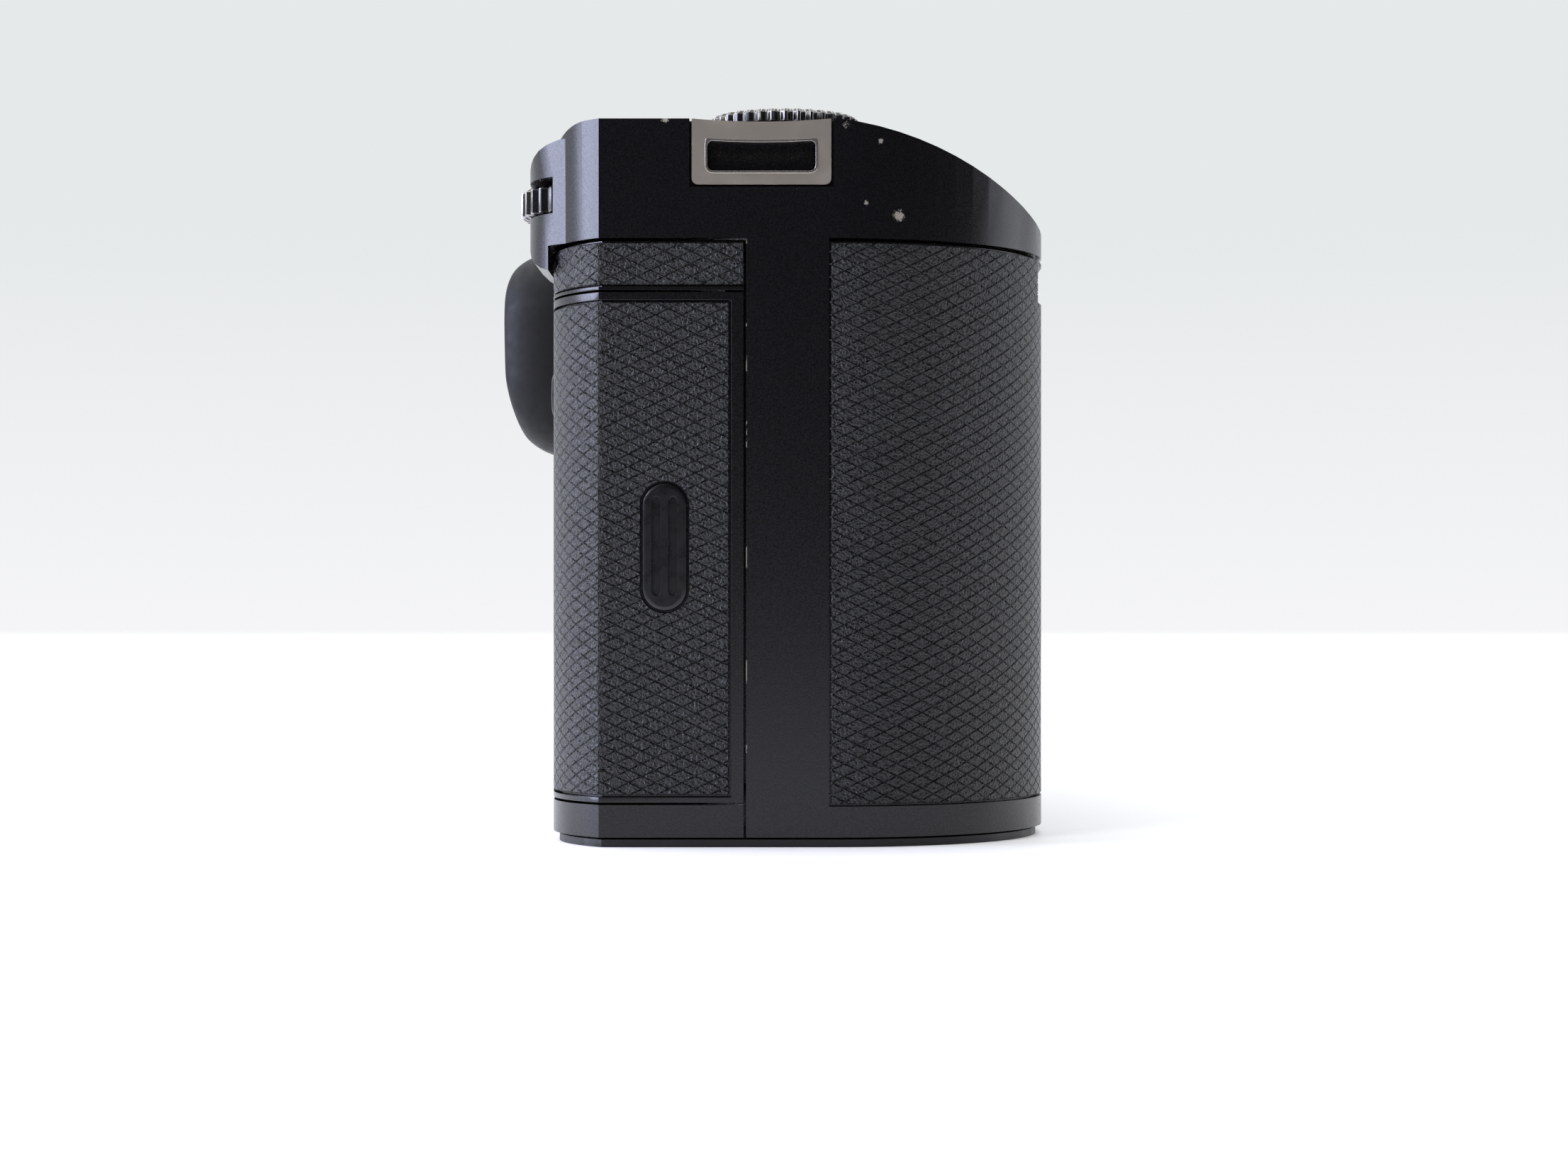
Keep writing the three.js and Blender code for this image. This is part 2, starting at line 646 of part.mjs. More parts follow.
function dialWithStem({ radius, top }, ridges, stemRadius, stemDepth) {
  const height = top - dialBottom;
  return join(prism(knurled(radius, 0.45, ridges), 0, height), rodZ(stemRadius, -stemDepth, 0.5, 0, 0, 16));
}

const pressButton = (radius, inside, outside) =>
  join(rodZ(radius, -inside, outside, 0, 0, 16), rodZ(radius + 0.8, -inside, -inside + 0.8, 0, 0, 16));

function powerLever() {
  const disc = rodZ(9, -0.7, 0.3, 0, 0, 28);
  const tab = block([-2.2, 2.2], [-9.9, -7], [-0.7, 0.6]);
  return join(disc, tab.intersect(rodZ(10, -1, 3, 0, 0, 28))).subtract(rodZ(5.1, -2, 3, 0, 0, 24));
}

const shutterButton = () => join(rodZ(4.6, -5, 1.5, 0, 0, 20), rodZ(2, -9, -4, 0, 0, 12));

function focusLever() {
  const disc = rodY(focus.radius, -24, -22.2, 0, 0, 20);
  const tab = block([-1.2, 1.2], [-25.5, -23], [-5, 5]);
  return join(disc, tab, rodY(focus.shaft, -23, -17.5, 0, 0, 12));
}

const gimbal = () => rodY(4.2, -0.8, 0.8, 0, 0, 16).subtract(rodY(2.2, -2, 2, 0, 0, 12));
const stickHead = () => join(rodY(1.5, -3, 5, 0, 0, 10), rodY(stick.radius, 4, 7, 0, 0, 16));

// ---------- Assembly ----------

function place(mesh, x, y, z) {
  mesh.position.set(x, y, z);
  return mesh;
}

function group(...members) {
  const all = new THREE.Group();
  all.add(...members);
  return all;
}

const shells = group(
  piece('front_shell', frontShell(), paint()),
  piece('rear_shell', rearShell(), paint()),
  piece('top_cover', topCover(), paint()),
  piece('base_plate', basePlate(), blackMetal()),
  piece('grip_leather', gripLeather(), grain()),
  piece('front_leather', farLeather(), grain()),
  piece('rear_leather_strip', rearLeatherStrip(), grain()),
  piece('strap_lug_right', strapLug(-1), nickel()),
  piece('strap_lug_left', strapLug(1), nickel()),
  piece('hot_shoe', hotShoe(), nickel()),
);

const cardBay = group(
  piece('card_door', cardDoor(), paint()),
  piece('card_door_leather', cardDoorLeather(), grain()),
  piece('card_door_pad', cardDoorPad(), plastic()),
  piece('card_door_arm', block([-69, -64.2], [16, 21.7], [10, 66]), steel()),
  piece('card_slot_unit', cardSlotUnit(), plastic()),
  piece('memory_card_1', card(cardRows[0]), plastic()),
  piece('memory_card_2', card(cardRows[1]), plastic()),
);

const mount = group(
  piece('lens_mount_ring', lensMountRing(), steel()),
  piece('lens_baffle', lensBaffle(), plastic()),
  piece('mount_contacts', mountContacts(), gold()),
  place(
    piece('lens_lock_pin', rodY(lockPin.radius, lockPin.front, lockPin.back, 0, 0, 12), steel()),
    lens.x + lockPin.reach * Math.cos(lockPin.angle), 0, lens.z + lockPin.reach * Math.sin(lockPin.angle),
  ),
  place(
    piece('lens_release_button', rodY(releaseButton.radius, releaseButton.front, releaseButton.back), blackMetal()),
    releaseX, 0, releaseZ,
  ),
  place(piece('focus_lever', focusLever(), blackMetal()), focus.x, 0, focus.z),
);

const inside = group(
  piece('shutter_frame', shutterFrame(), blackMetal()),
  piece('shutter_curtain', block([lens.x - 26.5, lens.x + 26.5], [-10.4, -10.1], [8.5, 24.5]), blackMetal()),
  piece('sensor_unit', sensorUnit(), glass()),
  piece('main_board', mainBoard(), board()),
  piece('battery', block(
    [battery.left, battery.right],
    [battery.front, battery.back],
    [battery.bottom, battery.top],
  ), plastic()),
  piece('evf_housing', eyepieceHousing(), plastic()),
  piece('evf_lens', prismY(roundedRectangle(8.2, 7.2, 2, eye.x, eye.z), 22.5, 24.8, 3), glass()),
  piece('eyecup', eyecup(), rubber()),
);

const releaseGroup = group(
  piece('power_lever', powerLever(), blackMetal()),
  piece('shutter_button', shutterButton(), blackMetal()),
);
releaseGroup.position.set(release.x, release.y, release.z);
releaseGroup.rotation.x = release.tilt;

const topControls = group(
  place(
    piece('exposure_dial', dialWithStem(exposureDial, 34, 3, 6), blackMetal()),
    exposureDial.x, exposureDial.y, dialBottom,
  ),
  place(
    piece('shutter_speed_dial', dialWithStem(speedDial, 36, 4.2, 6).subtract(rodZ(2.5, -8, 5, 0, 0, 12)), blackMetal()),
    speedDial.x, speedDial.y, dialBottom,
  ),
  place(piece('dial_lock_button', rodZ(2.2, -5, 2.2, 0, 0, 12), blackMetal()), speedDial.x, speedDial.y, dialBottom),
  releaseGroup,
  piece('rear_dial', wheelBody(rearDial, 30), blackMetal()),
  piece('rear_dial_bracket', wheelBracket(rearDial, 91.4, [-72, -48], [8, 19.5]), steel()),
  piece('front_dial', wheelBody(frontDial, 30), blackMetal()),
  piece('front_dial_bracket', wheelBracket(frontDial, 78, [-62, -43], [-35, -24]), steel()),
  piece('diopter_dial', prismX(knurled(diopter.radius, 0.4, 18), 0, 1.9), blackMetal()),
);

const diopterDial = topControls.children.find(({ name }) => name === 'diopter_dial');
diopterDial.position.set(78.3, diopter.y, diopter.z);

topButtons.forEach(({ name, x, y }) => {
  topControls.add(place(piece(name, pressButton(2.6, 3.2, 0.9), blackMetal()), x, y, body.top));
});

const backControls = group(
  piece('lcd_bracket', monitorBracket(), steel()),
  piece('lcd_panel', monitorPanel(), plastic()),
  piece('lcd_glass', block([-29.5, 39.5], [23, 23.7], [9.5, 58.5]), glass()),
  place(piece('joystick_gimbal', gimbal(), steel()), stick.x, stick.pivot, stick.z),
  place(piece('joystick', stickHead(), rubber()), stick.x, stick.pivot, stick.z),
);

buttons.forEach(({ name, x, z }) => {
  const button = place(piece(name, pressButton(buttonRadius - 0.1, 3.4, 0.9), plastic()), x, body.back, z);
  button.rotation.x = -Math.PI / 2;
  backControls.add(button);
});

function portDoor(name, [z0, z1]) {
  const plate = block([body.half - door.thickness, body.half], [ports.y, ports.end], [z0, z1]);
  return piece(name, plate, rubber());
}

const base = group(
  piece('battery_door', batteryDoorPlate(), blackMetal()),
  piece('battery_latch', latchSlide(), blackMetal()),
  piece('tripod_socket', tripodSocket(), steel()),
  portDoor('connector_door_upper', ports.upper),
  portDoor('connector_door_lower', ports.lower),
);

const camera = group(shells, cardBay, mount, inside, topControls, backControls, base);

export default camera;
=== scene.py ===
import json
import math

import bpy
from bpy.props import FloatProperty, FloatVectorProperty
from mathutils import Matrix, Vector


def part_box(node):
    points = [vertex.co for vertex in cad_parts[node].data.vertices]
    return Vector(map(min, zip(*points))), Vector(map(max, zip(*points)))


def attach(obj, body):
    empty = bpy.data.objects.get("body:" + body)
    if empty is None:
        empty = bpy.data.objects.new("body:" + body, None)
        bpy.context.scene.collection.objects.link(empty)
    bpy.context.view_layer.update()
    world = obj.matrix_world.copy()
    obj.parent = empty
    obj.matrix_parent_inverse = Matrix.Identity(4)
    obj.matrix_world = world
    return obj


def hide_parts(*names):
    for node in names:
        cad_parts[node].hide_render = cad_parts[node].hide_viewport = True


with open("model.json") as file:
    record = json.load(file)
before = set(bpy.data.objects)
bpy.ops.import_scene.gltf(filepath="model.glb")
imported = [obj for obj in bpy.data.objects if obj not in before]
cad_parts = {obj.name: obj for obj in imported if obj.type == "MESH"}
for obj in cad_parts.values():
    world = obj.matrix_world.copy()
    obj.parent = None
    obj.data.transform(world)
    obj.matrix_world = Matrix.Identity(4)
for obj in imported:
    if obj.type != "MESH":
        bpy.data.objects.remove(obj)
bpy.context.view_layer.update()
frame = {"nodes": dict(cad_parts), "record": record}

bl_info = {
    "name": "Rangefinder camera body",
    "version": (1, 0, 0),
    "blender": (4, 5, 0),
    "location": "View3D > Sidebar > Camera body",
    "description": "Builds the finished look of a rangefinder-style digital camera body round its frame",
    "category": "Object",
}

MM = 0.001
BODY_OF = {node: body for body, nodes in frame["record"]["behaviour"]["bodies"].items() for node in nodes}
SLOT_OF = {part["node"]: part["material_slot"] for part in frame["record"]["subparts"]}


def linear(hex_colour):
    """An sRGB hex colour as linear red, green, blue."""
    channels = (int(hex_colour[i:i + 2], 16) / 255 for i in (1, 3, 5))
    return tuple(c / 12.92 if c <= 0.04045 else ((c + 0.055) / 1.055) ** 2.4 for c in channels)


# ---------- Sizes and colours a user would change ----------

class StageSettings(bpy.types.PropertyGroup):
    eye_distance: FloatProperty(
        name="Eye distance", description="From the grip side to the camera", default=0.380, unit="LENGTH")
    eye_height: FloatProperty(
        name="Eye height", description="Camera height above the floor", default=0.032, unit="LENGTH")
    eye_offset: FloatProperty(
        name="Eye offset", description="How far the camera stands in front of the body's middle",
        default=-0.0067, unit="LENGTH")
    focal: FloatProperty(
        name="Focal length", description="On a 36 mm wide sensor, in millimetres", default=67.7)
    rise: FloatProperty(name="Vertical shift", description="Moves the picture up or down", default=0.0073)
    floor_size: FloatProperty(name="Floor size", description="Side of the floor", default=6.0, unit="LENGTH")


class FinishSettings(bpy.types.PropertyGroup):
    paint: FloatVectorProperty(
        name="Paint", description="Satin enamel of the shells", subtype="COLOR", default=linear("#050508"))
    leather: FloatVectorProperty(
        name="Leather", description="Covering of the grip and door", subtype="COLOR",
        default=linear("#17181a"))
    anodised: FloatVectorProperty(
        name="Anodised", description="Dials and buttons", subtype="COLOR", default=linear("#141518"))


class LeatherSettings(bpy.types.PropertyGroup):
    pitch: FloatProperty(
        name="Diamond width", description="Between diamonds along the body", default=3.44 * MM, unit="LENGTH")
    rise: FloatProperty(
        name="Diamond height", description="Between diamonds up the body", default=1.63 * MM, unit="LENGTH")
    groove: FloatProperty(
        name="Groove", description="Half the width of the pressed lines", default=0.13 * MM, unit="LENGTH")
    relief: FloatProperty(
        name="Relief", description="Depth of the pressed lines", default=0.12 * MM, unit="LENGTH")


# ---------- Materials ----------

def add(material, kind, values=None, **settings):
    """Adds a node, with its settings, and its inputs as values or links."""
    tree = material.node_tree
    made = tree.nodes.new(kind)
    for name, value in settings.items():
        setattr(made, name, value)
    for name, value in (values or {}).items():
        if isinstance(value, bpy.types.NodeSocket):
            tree.links.new(value, made.inputs[name])
        else:
            made.inputs[name].default_value = value
    return made


def start(name):
    """An empty material and its Object coordinates."""
    material = bpy.data.materials.new(name)
    material.use_nodes = True
    material.node_tree.nodes.clear()
    place = add(material, "ShaderNodeTexCoord").outputs["Object"]
    return material, place


def finish(material, **values):
    """Closes a material with one Principled shader."""
    named = {name.replace("_", " "): value for name, value in values.items()}
    shader = add(material, "ShaderNodeBsdfPrincipled", named)
    add(material, "ShaderNodeOutputMaterial", {"Surface": shader.outputs["BSDF"]})
    return material


def noise(material, place, grain_mm, detail=3.0, roughness=0.5, stretch=None):
    """Cloudy noise whose lumps are about grain_mm across."""
    if stretch:
        place = add(material, "ShaderNodeMapping", {"Vector": place, "Scale": stretch}).outputs["Vector"]
    return add(material, "ShaderNodeTexNoise", {
        "Vector": place, "Scale": 1 / (grain_mm * MM), "Detail": detail, "Roughness": roughness,
    }).outputs["Fac"]


def spread(material, factor, low, high, start_at=0.3, end_at=0.7):
    """Maps a factor between two limits onto low to high."""
    return add(material, "ShaderNodeMapRange", {
        "Value": factor, "From Min": start_at, "From Max": end_at, "To Min": low, "To Max": high,
    }).outputs["Result"]


def blend_colour(material, factor, first, second):
    """Mixes two colours, either of which may be a link."""
    made = add(material, "ShaderNodeMix", data_type="RGBA")
    tree = material.node_tree
    for socket, value in ((made.inputs[0], factor), (made.inputs[6], first), (made.inputs[7], second)):
        if isinstance(value, bpy.types.NodeSocket):
            tree.links.new(value, socket)
        else:
            socket.default_value = (*value, 1) if len(value) == 3 else value
    return made.outputs[2]


def bump(material, height, depth_mm, strength=1.0, normal=None):
    """A relief of depth_mm from a height, on top of another relief if there is one."""
    values = {"Height": height, "Distance": depth_mm * MM, "Strength": strength}
    if normal is not None:
        values["Normal"] = normal
    return add(material, "ShaderNodeBump", values).outputs["Normal"]


def calc(material, operation, first, second=0.0):
    """One sum on two values or links."""
    return add(material, "ShaderNodeMath", {0: first, 1: second}, operation=operation).outputs[0]


# places on the covers where the paint is knocked off, in millimetres, with the size of each chip
CHIPS = (
    ((-79.2, -21.6, 81.6), 0.75), ((-78.3, -26.9, 81.5), 0.6), ((-79.9, -17.3, 83.2), 0.35),
    ((-79.9, -8.6, 85.0), 0.4), ((-79.8, -14.6, 93.2), 0.55), ((-77.4, -16.9, 92.6), 0.5),
    ((-79.6, -19.2, 91.2), 0.35), ((-80.3, 8.6, 93.9), 0.5),
)


# where pale dashes go, in millimetres: the cover's top edge as far back as the crease, and the seam; partly
# worn paint, partly a painted highlight on those edges
WEAR_AND_HIGHLIGHT = {
    "top_above": 93, "top_until": 17.2, "seam": -1.85, "seam_half": 0.09, "seam_below": 78.3, "outside": -80,
}


def chips_and_edge_highlights(material, place):
    """Where the paint is gone at the chips, and pale dashes along the sharp edges of the top and the seam,
    which are partly worn paint and partly a painted highlight.
    """
    ragged = noise(material, place, 0.3, 6, 0.8)
    gone = None
    for centre, radius in CHIPS:
        reach = add(material, "ShaderNodeVectorMath", {
            0: place, 1: [c * MM for c in centre]}, operation="DISTANCE").outputs["Value"]
        edge = calc(material, "MULTIPLY", calc(material, "SUBTRACT", ragged, 0.3), 4 * radius * MM)
        hit = calc(material, "LESS_THAN", reach, edge)
        gone = hit if gone is None else calc(material, "MAXIMUM", gone, hit)
    facing = add(material, "ShaderNodeSeparateXYZ", {
        "Vector": add(material, "ShaderNodeNewGeometry").outputs["True Normal"]})
    axes = add(material, "ShaderNodeSeparateXYZ", {"Vector": place})
    sideways = calc(material, "ABSOLUTE", facing.outputs["X"])
    upwards = facing.outputs["Z"]
    corner = calc(material, "GREATER_THAN", calc(material, "MULTIPLY", sideways, upwards), 0.2)
    before_crease = calc(material, "LESS_THAN", axes.outputs["Y"], WEAR_AND_HIGHLIGHT["top_until"] * MM)
    near_top = calc(material, "GREATER_THAN", axes.outputs["Z"], WEAR_AND_HIGHLIGHT["top_above"] * MM)
    corner = calc(material, "MULTIPLY", corner, near_top)
    # pale dashes on the top edge: partly rubbed paint, partly a painted highlight
    rubbed = calc(material, "GREATER_THAN", noise(material, place, 2.2, 4, 0.7), 0.46)
    top_edge = calc(material, "MULTIPLY", calc(material, "MULTIPLY", corner, before_crease), rubbed)
    # pale dashes along the seam: partly worn paint, partly a painted highlight
    from_seam = calc(material, "ABSOLUTE", calc(material, "SUBTRACT", axes.outputs["Y"], WEAR_AND_HIGHLIGHT["seam"] * MM))
    seam = calc(material, "LESS_THAN", from_seam, WEAR_AND_HIGHLIGHT["seam_half"] * MM)
    dashes = calc(material, "GREATER_THAN", noise(material, place, 1.6, 3, 0.6, (1, 1, 0.4)), 0.6)
    low = calc(material, "LESS_THAN", axes.outputs["Z"], WEAR_AND_HIGHLIGHT["seam_below"] * MM)
    outside = calc(material, "LESS_THAN", axes.outputs["X"], WEAR_AND_HIGHLIGHT["outside"] * MM)
    reach = calc(material, "MULTIPLY", calc(material, "MULTIPLY", low, outside), 0.4)
    seam_wear_and_highlight = calc(material, "MULTIPLY", calc(material, "MULTIPLY", seam, dashes), reach)
    return calc(material, "MAXIMUM", gone, calc(material, "MAXIMUM", top_edge, seam_wear_and_highlight))


def painted_body():
    """Satin enamel on cast magnesium: blue-black and softly shining, chipped to pale metal, with pale dashes
    on its top and seam edges that are partly wear and partly a painted highlight.
    """
    material, place = start("satin_enamel_on_magnesium")
    paint = bpy.context.scene.camera_finish.paint
    cloud = noise(material, place, 9, 2)
    base = blend_colour(material, cloud, tuple(0.8 * c for c in paint), tuple(1.2 * c for c in paint))
    # pale metal where the paint is chipped, and on the top edge and seam partly a painted highlight
    worn = chips_and_edge_highlights(material, place)
    base = blend_colour(material, worn, base, linear("#c6bfb2"))
    tooth = noise(material, place, 0.24, 2, 0.6)
    rough = calc(material, "ADD", spread(material, tooth, 0.22, 0.34), calc(material, "MULTIPLY", worn, 0.08))
    normal = bump(material, tooth, 0.015, 0.4)
    return finish(
        material, Base_Color=base, Metallic=calc(material, "MULTIPLY", worn, 0.5), Roughness=rough, IOR=1.52,
        Normal=normal)


def base_metal():
    """Black enamel on the thin steel base, rubbed by tables."""
    material, place = start("rubbed_enamel_on_steel")
    rub = noise(material, place, 1.6, 4, 0.6, (1, 0.12, 1))
    base = blend_colour(material, spread(material, rub, 0, 1, 0.5, 0.8), linear("#101113"), linear("#26272b"))
    rough = spread(material, rub, 0.34, 0.52)
    return finish(material, Base_Color=base, Roughness=rough, Normal=bump(material, rub, 0.008, 0.5))


def grained_leather():
    """Pressed leatherette: hard dark vinyl, crumpled inside each diamond so that its small crests glint."""
    material, place = start("pressed_leatherette")
    leather = bpy.context.scene.camera_finish.leather
    sway = add(material, "ShaderNodeTexNoise", {"Vector": place, "Scale": 1 / (0.7 * MM)}).outputs["Color"]
    swayed = add(material, "ShaderNodeVectorMath", {0: place, 1: add(
        material, "ShaderNodeVectorMath", {0: sway, 1: (0.0006, 0.0006, 0.0006)}, operation="MULTIPLY",
    ).outputs[0]}, operation="ADD").outputs[0]
    creases = add(material, "ShaderNodeTexVoronoi", {
        "Vector": swayed, "Scale": 1 / (0.6 * MM)}, feature="DISTANCE_TO_EDGE").outputs["Distance"]
    folds = spread(material, creases, 0, 1, 0.0, 0.3)
    lumps = noise(material, place, 0.42, 3, 0.6)
    cloud = noise(material, place, 6, 3)
    base = blend_colour(
        material, spread(material, cloud, 0, 1), tuple(0.75 * c for c in leather),
        tuple(1.2 * c for c in leather))
    # the creases of the grain are painted darker: painted shade in the folds
    base = blend_colour(material, folds, tuple(0.45 * c for c in leather), base)
    rough = spread(material, lumps, 0.24, 0.4)
    normal = bump(material, lumps, 0.2, 0.9, bump(material, folds, 0.1, 0.9))
    return finish(material, Base_Color=base, Roughness=rough, IOR=1.52, Normal=normal)


def moulded(name, hex_colour, rough=0.5, grain_mm=0.12, depth_mm=0.012, shine_level=0.5):
    """Spark-textured ABS or rubber: a soft cloudy colour and a fine even grain."""
    material, place = start(name)
    colour = linear(hex_colour)
    cloud = noise(material, place, 5, 3)
    base = blend_colour(material, cloud, tuple(0.75 * c for c in colour), tuple(1.25 * c for c in colour))
    fine = noise(material, place, grain_mm, 2)
    shine = spread(material, noise(material, place, 1.5, 3), rough - 0.06, rough + 0.06)
    return finish(
        material, Base_Color=base, Roughness=shine, Specular_IOR_Level=shine_level,
        Normal=bump(material, fine, depth_mm, 0.7))


def metal(name, hex_colour, rough, grain=(1, 1, 14), grain_mm=0.35, wear="#ded9d0", patches=0.35):
    """Bare or plated metal: fine drawn lines, with softly rubbed patches."""
    material, place = start(name)
    lines = noise(material, place, grain_mm, 3, 0.6, grain)
    dull = noise(material, place, 3.5, 3, 0.5)
    base = blend_colour(
        material, spread(material, dull, 0, patches, 0.35, 0.75), linear(hex_colour), linear(wear))
    shine = calc(material, "ADD", spread(material, lines, rough - 0.04, rough + 0.06),
                 spread(material, dull, 0, 0.06, 0.5, 0.8))
    return finish(
        material, Base_Color=base, Metallic=1.0, Roughness=shine, Normal=bump(material, lines, 0.003, 0.3))


def black_metal():
    """Black anodised aluminium: a dyed, slightly glassy oxide skin, faintly blue, rubbed pale in spots."""
    material, place = start("black_anodised_aluminium")
    colour = tuple(bpy.context.scene.camera_finish.anodised)
    lines = noise(material, place, 0.2, 2, 0.5, (1, 1, 8))
    rub = spread(material, noise(material, place, 1.2, 4, 0.65), 0, 0.8, 0.64, 0.72)
    base = blend_colour(material, rub, colour, linear("#8b8a88"))
    shine = spread(material, lines, 0.22, 0.34)
    return finish(
        material, Base_Color=base, Metallic=rub, Roughness=shine, IOR=1.76,
        Normal=bump(material, lines, 0.004, 0.4))


def coated_glass(name, hex_colour, rough, tint):
    """Glass behind a coating: nearly black, mirror smooth, with a faint coloured bloom."""
    material, place = start(name)
    bloom = noise(material, place, 30, 1)
    base = blend_colour(material, bloom, linear(hex_colour), linear(tint))
    smear = spread(material, noise(material, place, 4, 4), rough, rough + 0.05)
    return finish(material, Base_Color=base, Roughness=smear, IOR=1.52, Coat_Weight=0.8, Coat_Roughness=0.03)


def circuit_board():
    """Green solder mask with a faint weave."""
    material, place = start("solder_mask_on_laminate")
    weave = add(material, "ShaderNodeTexBrick", {
        "Vector": place, "Scale": 60.0, "Color1": (*linear("#12402a"), 1), "Color2": (*linear("#174b31"), 1),
        "Mortar": (*linear("#0c2f1f"), 1),
    })
    return finish(material, Base_Color=weave.outputs["Color"], Roughness=0.35)


MAKERS = {
    "painted_body": painted_body,
    "base_metal": base_metal,
    "grained_leather": grained_leather,
    # smooth moulded ABS: a little shinier than the leather round it
    "door_plastic": lambda: moulded("moulded_abs_door_grip", "#0e0f11", 0.3),
    # drawn stainless steel: pale grey with short soft glints
    "bare_steel": lambda: metal("drawn_stainless_steel", "#9a9a99", 0.28),
    # matt moulded ABS: takes nearly all light inside the body
    "inner_plastic": lambda: moulded("light_trap_black_abs", "#0d0d0e", 0.7),
    # moulded ABS of the battery and cards: dull and slightly blue
    "card_plastic": lambda: moulded("moulded_abs_case", "#1d2126", 0.45),
    # satin nickel plate on brass: warm and pale, dulled by a strap
    "nickel_plate": lambda: metal("worn_satin_nickel", "#d0c6b9", 0.4, patches=0.15),
    # turned stainless steel: cool, with glints that follow the ring
    "mount_steel": lambda: metal("turned_stainless_steel", "#a9a9a8", 0.22, (1, 14, 1)),
    # hard gold plate: warm points of light
    "gold_contact": lambda: metal("gold_plated_contacts", "#c99a3f", 0.25, wear="#e0bd6c"),
    "black_metal": black_metal,
    # flat sprayed enamel: an even dark grey
    "inner_metal": lambda: moulded("flat_black_enamel", "#151517", 0.55),
    # infra-red cut glass: dark blue-green, mirror smooth
    "sensor_glass": lambda: coated_glass("sensor_cover_glass", "#0c1418", 0.04, "#152a2e"),
    "circuit_board": circuit_board,
    # multicoated glass: nearly black with a violet bloom
    "optical_glass": lambda: coated_glass("coated_eyepiece_glass", "#0b0f16", 0.03, "#1b1430"),
    # moulded silicone: soft, deep black with a wide faint sheen
    "soft_rubber": lambda: moulded("moulded_silicone_rubber", "#060708", 0.6, 0.2, 0.01, 0.3),
    # moulded ABS round the monitor: dark and even
    "screen_plastic": lambda: moulded("moulded_abs_frame", "#121315", 0.45),
    # hardened cover glass over a dark screen: a clean reflection
    "screen_glass": lambda: coated_glass("screen_cover_glass", "#07080a", 0.05, "#0c0d11"),
    # moulded ABS polished by fingers
    "button_plastic": lambda: moulded("moulded_abs_button", "#1a1b1d", 0.4),
    # enamel filled into engraved numbers: matt white
    "white_enamel": lambda: moulded("filled_white_enamel", "#c9cac8", 0.5),
    # pale metal on the bevelled ridge edges: a painted highlight, bright lines on the ridges
    "painted_edge_highlight": lambda: metal("pale_metal_as_painted_highlight", "#a9a8a6", 0.34),
    # nickel polished by a strap: a bright thin line
    "polished_nickel": lambda: metal("polished_nickel", "#f0ebe0", 0.22, patches=0.1),
}
FINISHES = {}


def finish_of(slot):
    """The one material of a slot, made when it is first asked for."""
    if slot not in FINISHES:
        FINISHES[slot] = MAKERS[slot]()
    return FINISHES[slot]


def wear_finish(piece, slot, edge_finish=None):
    """Gives a piece the one finish of its slot, and its bevelled edges another if asked."""
    mesh = piece.data
    places = [face.material_index for face in mesh.polygons]
    mesh.materials.clear()
    mesh.materials.append(finish_of(slot))
    if edge_finish:
        mesh.materials.append(finish_of(edge_finish))
        mesh.polygons.foreach_set("material_index", places)


# ---------- Modelling ----------

def deselect():
    """Leaves edit mode and lets go of everything."""
    if bpy.context.object and bpy.context.object.mode != "OBJECT":
        bpy.ops.object.mode_set(mode="OBJECT")
    bpy.ops.object.select_all(action="DESELECT")


def pick(piece):
    """Makes a piece the only one selected."""
    deselect()
    piece.select_set(True)
    bpy.context.view_layer.objects.active = piece
    return piece


def edit(piece, mode="FACE", everything=True):
    """Opens a piece in edit mode with everything or nothing selected."""
    pick(piece)
    bpy.ops.object.mode_set(mode="EDIT")
    bpy.ops.mesh.select_mode(type=mode)
    bpy.ops.mesh.select_all(action="SELECT" if everything else "DESELECT")


def leave():
    bpy.ops.object.mode_set(mode="OBJECT")


def settle(piece):
    """Moves a piece's place into its mesh."""
    pick(piece)
    bpy.ops.object.transform_apply(location=True, rotation=True, scale=True)
    return piece


def apply_modifier(piece, kind, **settings):
    """Adds a modifier to a piece and applies it."""
    pick(piece)
    made = piece.modifiers.new(kind.title(), kind)
    for name, value in settings.items():
        setattr(made, name, value)
    bpy.ops.object.modifier_apply(modifier=made.name)
    return piece


def soften(piece, width_mm, segments=2, angle=32, edge_slot=0):
    """Rounds every edge sharper than the angle, and smooths what is left."""
    if edge_slot:
        piece.data.materials.clear()
        for _ in range(edge_slot + 1):
            piece.data.materials.append(None)
    if width_mm:
        apply_modifier(
            piece, "BEVEL", width=width_mm * MM, segments=segments, limit_method="ANGLE",
            angle_limit=math.radians(angle), use_clamp_overlap=True, material=edge_slot or -1)
    pick(piece)
    bpy.ops.object.shade_smooth_by_angle(angle=math.radians(angle))
    return apply_modifier(piece, "WEIGHTED_NORMAL", keep_sharp=True)


def bore(piece, cutter):
    """Cuts one closed solid out of another, and deletes the cutter."""
    apply_modifier(piece, "BOOLEAN", operation="DIFFERENCE", object=cutter, solver="EXACT")
    bpy.data.objects.remove(cutter)
    return piece


def weld(piece, *others):
    """Joins solids that overlap into one closed solid."""
    for other in others:
        apply_modifier(piece, "BOOLEAN", operation="UNION", object=other, solver="EXACT")
        bpy.data.objects.remove(other)
    return piece


# Turns that send a piece's own +Z along an axis.
TURNS = {
    "X": (0, math.pi / 2, 0),
    "-X": (0, -math.pi / 2, 0),
    "Y": (-math.pi / 2, 0, 0),
    "-Y": (math.pi / 2, 0, 0),
    "Z": (0, 0, 0),
}


